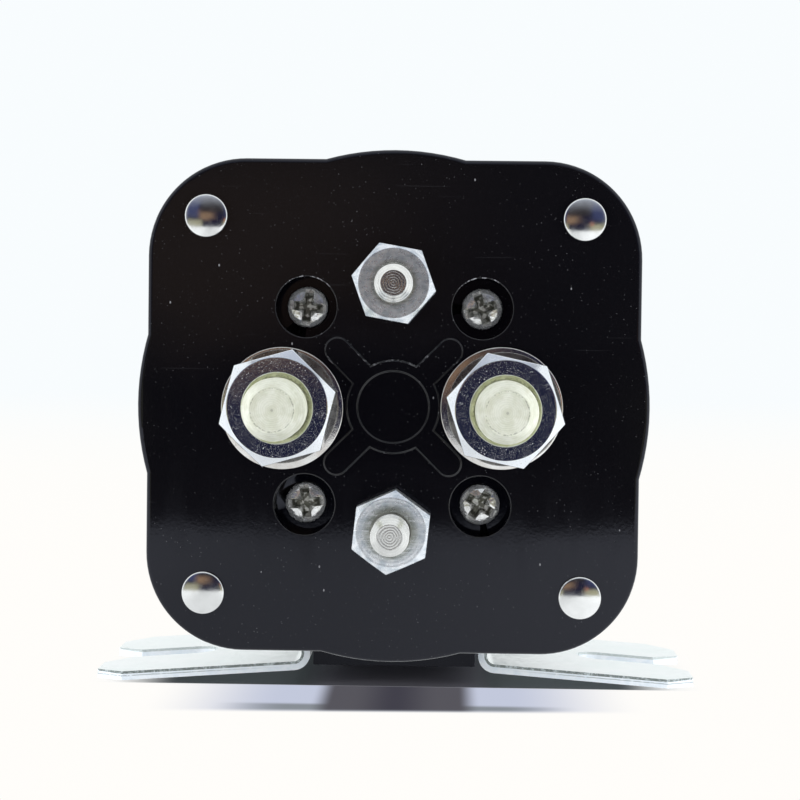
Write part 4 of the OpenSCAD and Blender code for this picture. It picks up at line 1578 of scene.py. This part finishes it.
@dataclass
class Bracket:
    """The two bent sheet-metal halves and the two rivets across the keel."""

    bench: Bench
    rounding: float = 0.12
    facing: float = 0.5
    burr_w: float = 0.38
    tip_x: float = 36.0
    half_span: float = 42.4
    slope_deg: float = 4.2
    upper: float = 0.8

    def build(self) -> None:
        """Builds both halves from merged copies and dresses the cross rivets."""
        sheet = Plating(
            "bracket_zinc", (0.93, 0.975, 0.955), (0.985, 1.0, 0.99), roughness=0.28, wear=0.1,
            blotch=0.12, pits=0.0003, pit_scale=2.2, metallic=0.85,
        ).paint()
        sheared = ShearedEdge("bracket_sheared_edge", self.half_span, self.slope_deg).paint()
        # The third material paints shade along the rolled-over upper edge.
        rolled_edge_shade = RolledEdgeShade("bracket_rolled_edge_shade").paint()
        for side in ("left", "right"):
            node = f"bracket_{side}"
            shape = self.bench.node_copy(node)
            self.mark_edges(shape)
            self.bench.piece(
                f"{node}_sheet", shape, [sheet, sheared, rolled_edge_shade], "bracket_zinc", [node],
                self.rounding,
            )
        rivet = Plating(
            "cross_rivet_zinc", (0.66, 0.67, 0.68), (0.74, 0.75, 0.76), roughness=0.3, wear=0.1
        ).paint()
        self.bench.piece(
            "cross_rivet_pair", self.bench.node_copy("cross_rivets"), [rivet], "cross_rivet_zinc",
            ["cross_rivets"], self.rounding,
        )

    def mark_edges(self, shape: bmesh.types.BMesh) -> None:
        """Gives the sheared edges the second material and their upper edge's painted shade the
        third.

        Args:
            shape: A bracket half in the row frame.
        """
        for face in shape.faces:
            if abs(face.normal.y) > self.facing:
                face.material_index = 1
        front = [face for face in shape.faces if face.normal.y < -self.facing]
        # An inset of the front faces gives the strip painted as shade along the upper edge.
        rim = bmesh.ops.inset_region(shape, faces=front, thickness=self.burr_w * MM, depth=0)
        for face in rim["faces"]:
            beside = [other for edge in face.edges for other in edge.link_faces]
            sides = [other for other in beside if abs(other.normal.y) < self.facing]
            face.material_index = 2 if any(self.is_upper(other) for other in sides) else 1

    def is_upper(self, face: bmesh.types.BMFace) -> bool:
        """Tells whether a face is on the sheet's upper or outer side, but not on a tip's end.

        Args:
            face: Face of a bracket half.

        Returns:
            True on the foot's top, in the bend and on the leg's outer side.
        """
        centre = face.calc_center_median()
        outward = math.copysign(face.normal.x, face.normal.x * centre.x)
        at_tip = outward > self.facing and abs(centre.x) > self.tip_x * MM
        return face.normal.z + outward > self.upper and not at_tip


@dataclass
class Spring:
    """A compression spring, with its joint, the travel that closes it and which end is fixed."""

    bench: Bench
    node: str
    body: str
    joint: str
    closes: float
    rear_fixed: bool

    def build(self, finish: bpy.types.Material) -> None:
        """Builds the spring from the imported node's mesh.

        Args:
            finish: Material of the wire.
        """
        low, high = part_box(self.node)
        shape = self.bench.node_copy(self.node, joined=False)
        wire = self.bench.piece(
            f"{self.node}_wire", shape, [finish], "spring_steel", [self.node], body=self.body
        )
        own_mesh(wire)


@dataclass
class Mechanism:
    """Magnet, coil, plunger and contacts inside the sealed case."""

    bench: Bench

    def build(self) -> None:
        """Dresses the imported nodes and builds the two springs."""
        for name, colour, tint, roughness, wear, nodes in (
            ("frame_steel", (0.36, 0.37, 0.39), (0.46, 0.47, 0.48), 0.38, 0.15,
             ("pole_plate", "magnet_frame")),
            ("core_steel", (0.45, 0.46, 0.47), (0.55, 0.56, 0.57), 0.25, 0.1, ("fixed_core",)),
            ("guide_brass", (0.72, 0.50, 0.2), (0.78, 0.58, 0.28), 0.2, 0.1, ("guide_tube",)),
            ("plunger_steel", (0.52, 0.53, 0.56), (0.62, 0.63, 0.66), 0.22, 0.1, ("plunger",)),
            ("rod_steel", (0.6, 0.61, 0.62), (0.68, 0.69, 0.7), 0.18, 0.08, ("push_rod",)),
            ("clip_steel", (0.12, 0.12, 0.13), (0.18, 0.18, 0.19), 0.35, 0.1, ("rod_clip",)),
            ("bridge_copper", (0.74, 0.38, 0.22), (0.8, 0.46, 0.3), 0.28, 0.1, ("contact_bridge",)),
            ("lead_copper", (0.6, 0.26, 0.12), (0.68, 0.32, 0.16), 0.25, 0.1,
             ("coil_lead_top", "coil_lead_bottom")),
        ):
            self.dress(nodes, Plating(name, colour, tint, roughness, wear))
        for finish, nodes in (
            (Moulded("bobbin_nylon", (0.72, 0.68, 0.58), roughness=0.45), ("bobbin",)),
            (Moulded("bush_plastic", (0.74, 0.68, 0.52)), ("bush_front", "bush_rear")),
            (Moulded("bumper_rubber", (0.025, 0.025, 0.025), 0.75, grain=0.03), ("bumper_pad",)),
            (Wound("winding_copper", (0.62, 0.26, 0.1), metallic=0.9, pitch=0.9), ("winding",)),
            (Wound("wrap_tape", (0.68, 0.55, 0.12), 0.0, 9.0, roughness=0.35), ("coil_wrap",)),
        ):
            self.dress(nodes, finish)
        steel = Plating(
            "spring_steel", (0.5, 0.51, 0.53), (0.6, 0.61, 0.63), roughness=0.2, wear=0.08
        ).paint()
        joints = self.bench.frame["record"]["behaviour"]["joints"]
        travel = {joint["name"]: joint["range_m"][1] for joint in joints}
        bridge = travel["bridge_slide"]
        over = travel["plunger_slide"] - bridge
        for node, body, joint, closes, rear_fixed in (
            ("contact_spring", "armature", "plunger_slide", over, True),
            ("return_spring", HOUSING, "bridge_slide", bridge, False),
        ):
            Spring(self.bench, node, body, joint, closes, rear_fixed).build(steel)

    def dress(self, nodes: Iterable[str], finish: Plating | Moulded | Wound) -> None:
        """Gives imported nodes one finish.

        Args:
            nodes: Names of the nodes.
            finish: Their finish.
        """
        material = finish.paint()
        for node in nodes:
            self.bench.dress(node, material)


@dataclass
class Stage:
    """Floor, surroundings, lamps and camera."""

    bench: Bench
    photo_px: int = 800
    focal_px: float = 2165.5
    depth_vanish_px: tuple[float, float] = (446.0, 334.0)
    face_centre_px: tuple[float, float] = (393.15, 406.9)
    roll_deg: float = 0.72
    face_distance: float = 280.0
    room_distance: float = 265.0
    room_height: float = 250.0
    room_size: Span = (620.0, 500.0)
    floor_size: Span = (4000.0, 4000.0)
    sensor_mm: float = 36.0
    see_from: float = 10.0
    see_to: float = 20000.0
    lamps: Sequence[tuple[str, Triple, float, float]] = (
        ("soft_top", (0, -200, 1200), 1200, 2.0),
        ("low_left", (-300, -160, 50), 160, 0.7),
        ("low_right", (300, -160, 50), 160, 0.7),
    )
    tent_colour: Colour = (0.94, 0.975, 0.992)
    floor_colour: Colour = (1.0, 0.985, 0.957)

    def build(self) -> None:
        """Builds the whole stage."""
        self.place_camera()
        self.light_world()
        self.lay_floor()
        self.hang_dark_room()
        self.hang_lamps()

    def place_camera(self) -> None:
        """Sets the camera where the photograph was taken from."""
        into = self.sight(*self.depth_vanish_px).normalized()
        roll = math.radians(self.roll_deg)
        up = Vector((math.sin(roll), math.cos(roll), 0))
        up = (up - up.dot(into) * into).normalized()
        to_world = Matrix((into.cross(up), into, up))
        ray = to_world @ self.sight(*self.face_centre_px)
        data = bpy.data.cameras.new("photo_camera")
        data.sensor_width = self.sensor_mm
        data.lens = self.focal_px / self.photo_px * self.sensor_mm
        data.clip_start = self.see_from * MM
        data.clip_end = self.see_to * MM
        camera = bpy.data.objects.new("photo_camera", data)
        bpy.context.scene.collection.objects.link(camera)
        eye = self.bench.axis("head") - ray * (self.face_distance * MM / ray.y)
        camera.matrix_world = Matrix.Translation(eye) @ to_world.to_4x4()
        bpy.context.scene.camera = camera

    def sight(self, x: float, y: float) -> Vector:
        """Line of sight of a pixel of the photograph, in the camera's own directions.

        Args:
            x: Pixels from the left.
            y: Pixels from the top.

        Returns:
            The line, one unit deep.
        """
        half = self.photo_px / 2
        return Vector(((x - half) / self.focal_px, (half - y) / self.focal_px, -1))

    def light_world(self) -> None:
        """Surrounds the relay with plain white."""
        world = bpy.data.worlds.new("white_tent")
        world.use_nodes = True
        bpy.context.scene.world = world
        background = world.node_tree.nodes["Background"]
        background.inputs["Color"].default_value = opaque(self.tent_colour)
        background.inputs["Strength"].default_value = 1.0

    def flat_panel(
        self, name: str, size: Span, place: Matrix, finish: MirrorFloor | DarkRoom
    ) -> bpy.types.Object:
        """Makes a flat stage panel.

        Args:
            name: Name of the object.
            size: Sizes along its own X and Y, in millimetres.
            place: Matrix that puts it in the row frame.
            finish: Its finish.

        Returns:
            The panel.
        """
        shape = bmesh.new()
        bmesh.ops.create_grid(shape, x_segments=1, y_segments=1, size=0.5)
        bmesh.ops.scale(shape, verts=shape.verts, vec=(size[0] * MM, size[1] * MM, 1))
        shape.transform(place)
        panel = self.bench.loose(shape, name)
        panel.data.materials.append(finish.paint())
        return panel

    def lay_floor(self) -> None:
        """Lays the white floor that shows the relay's mirror image and shadow."""
        finish = MirrorFloor("floor_white", self.floor_colour, self.tent_colour)
        self.flat_panel("floor", self.floor_size, Matrix(), finish)

    def hang_dark_room(self) -> None:
        """Hangs the unlit room in front of the relay, seen only in its reflections."""
        away = self.bench.face_y() - self.room_distance * MM
        place = Matrix.Translation((0, away, self.room_height * MM))
        finish = DarkRoom("dark_room_tone")
        room = self.flat_panel("dark_room", self.room_size, place @ UPRIGHT, finish)
        for ray in ("camera", "diffuse", "transmission", "volume_scatter", "shadow"):
            setattr(room, f"visible_{ray}", False)

    def hang_lamps(self) -> None:
        """Hangs a wide soft lamp above the relay and a low one at each side of it."""
        low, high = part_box("head")
        target = Vector(((low.x + high.x) / 2, 0, low.z))
        for name, spot, size, energy in self.lamps:
            place = Vector(spot) * MM
            data = bpy.data.lights.new(name, "AREA")
            data.size = size * MM
            data.energy = energy
            lamp = bpy.data.objects.new(name, data)
            lamp.location = place
            lamp.rotation_euler = (target - place).to_track_quat("-Z", "Y").to_euler()
            lamp.visible_glossy = False
            bpy.context.scene.collection.objects.link(lamp)


def main() -> None:
    """Builds the relay's pieces in order, then the stage."""
    logging.basicConfig(level=logging.INFO, format="%(name)s %(message)s")
    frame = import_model()
    bench = Bench(frame)
    bpy.context.scene.view_settings.view_transform = "Standard"
    Stage(bench).build()
    Moulding(bench).build()
    TerminalSet(bench).build()
    FrameScrews(bench).build()
    CornerRivets(bench).build()
    Bracket(bench).build()
    Mechanism(bench).build()


if __name__ == "__main__":
    main()
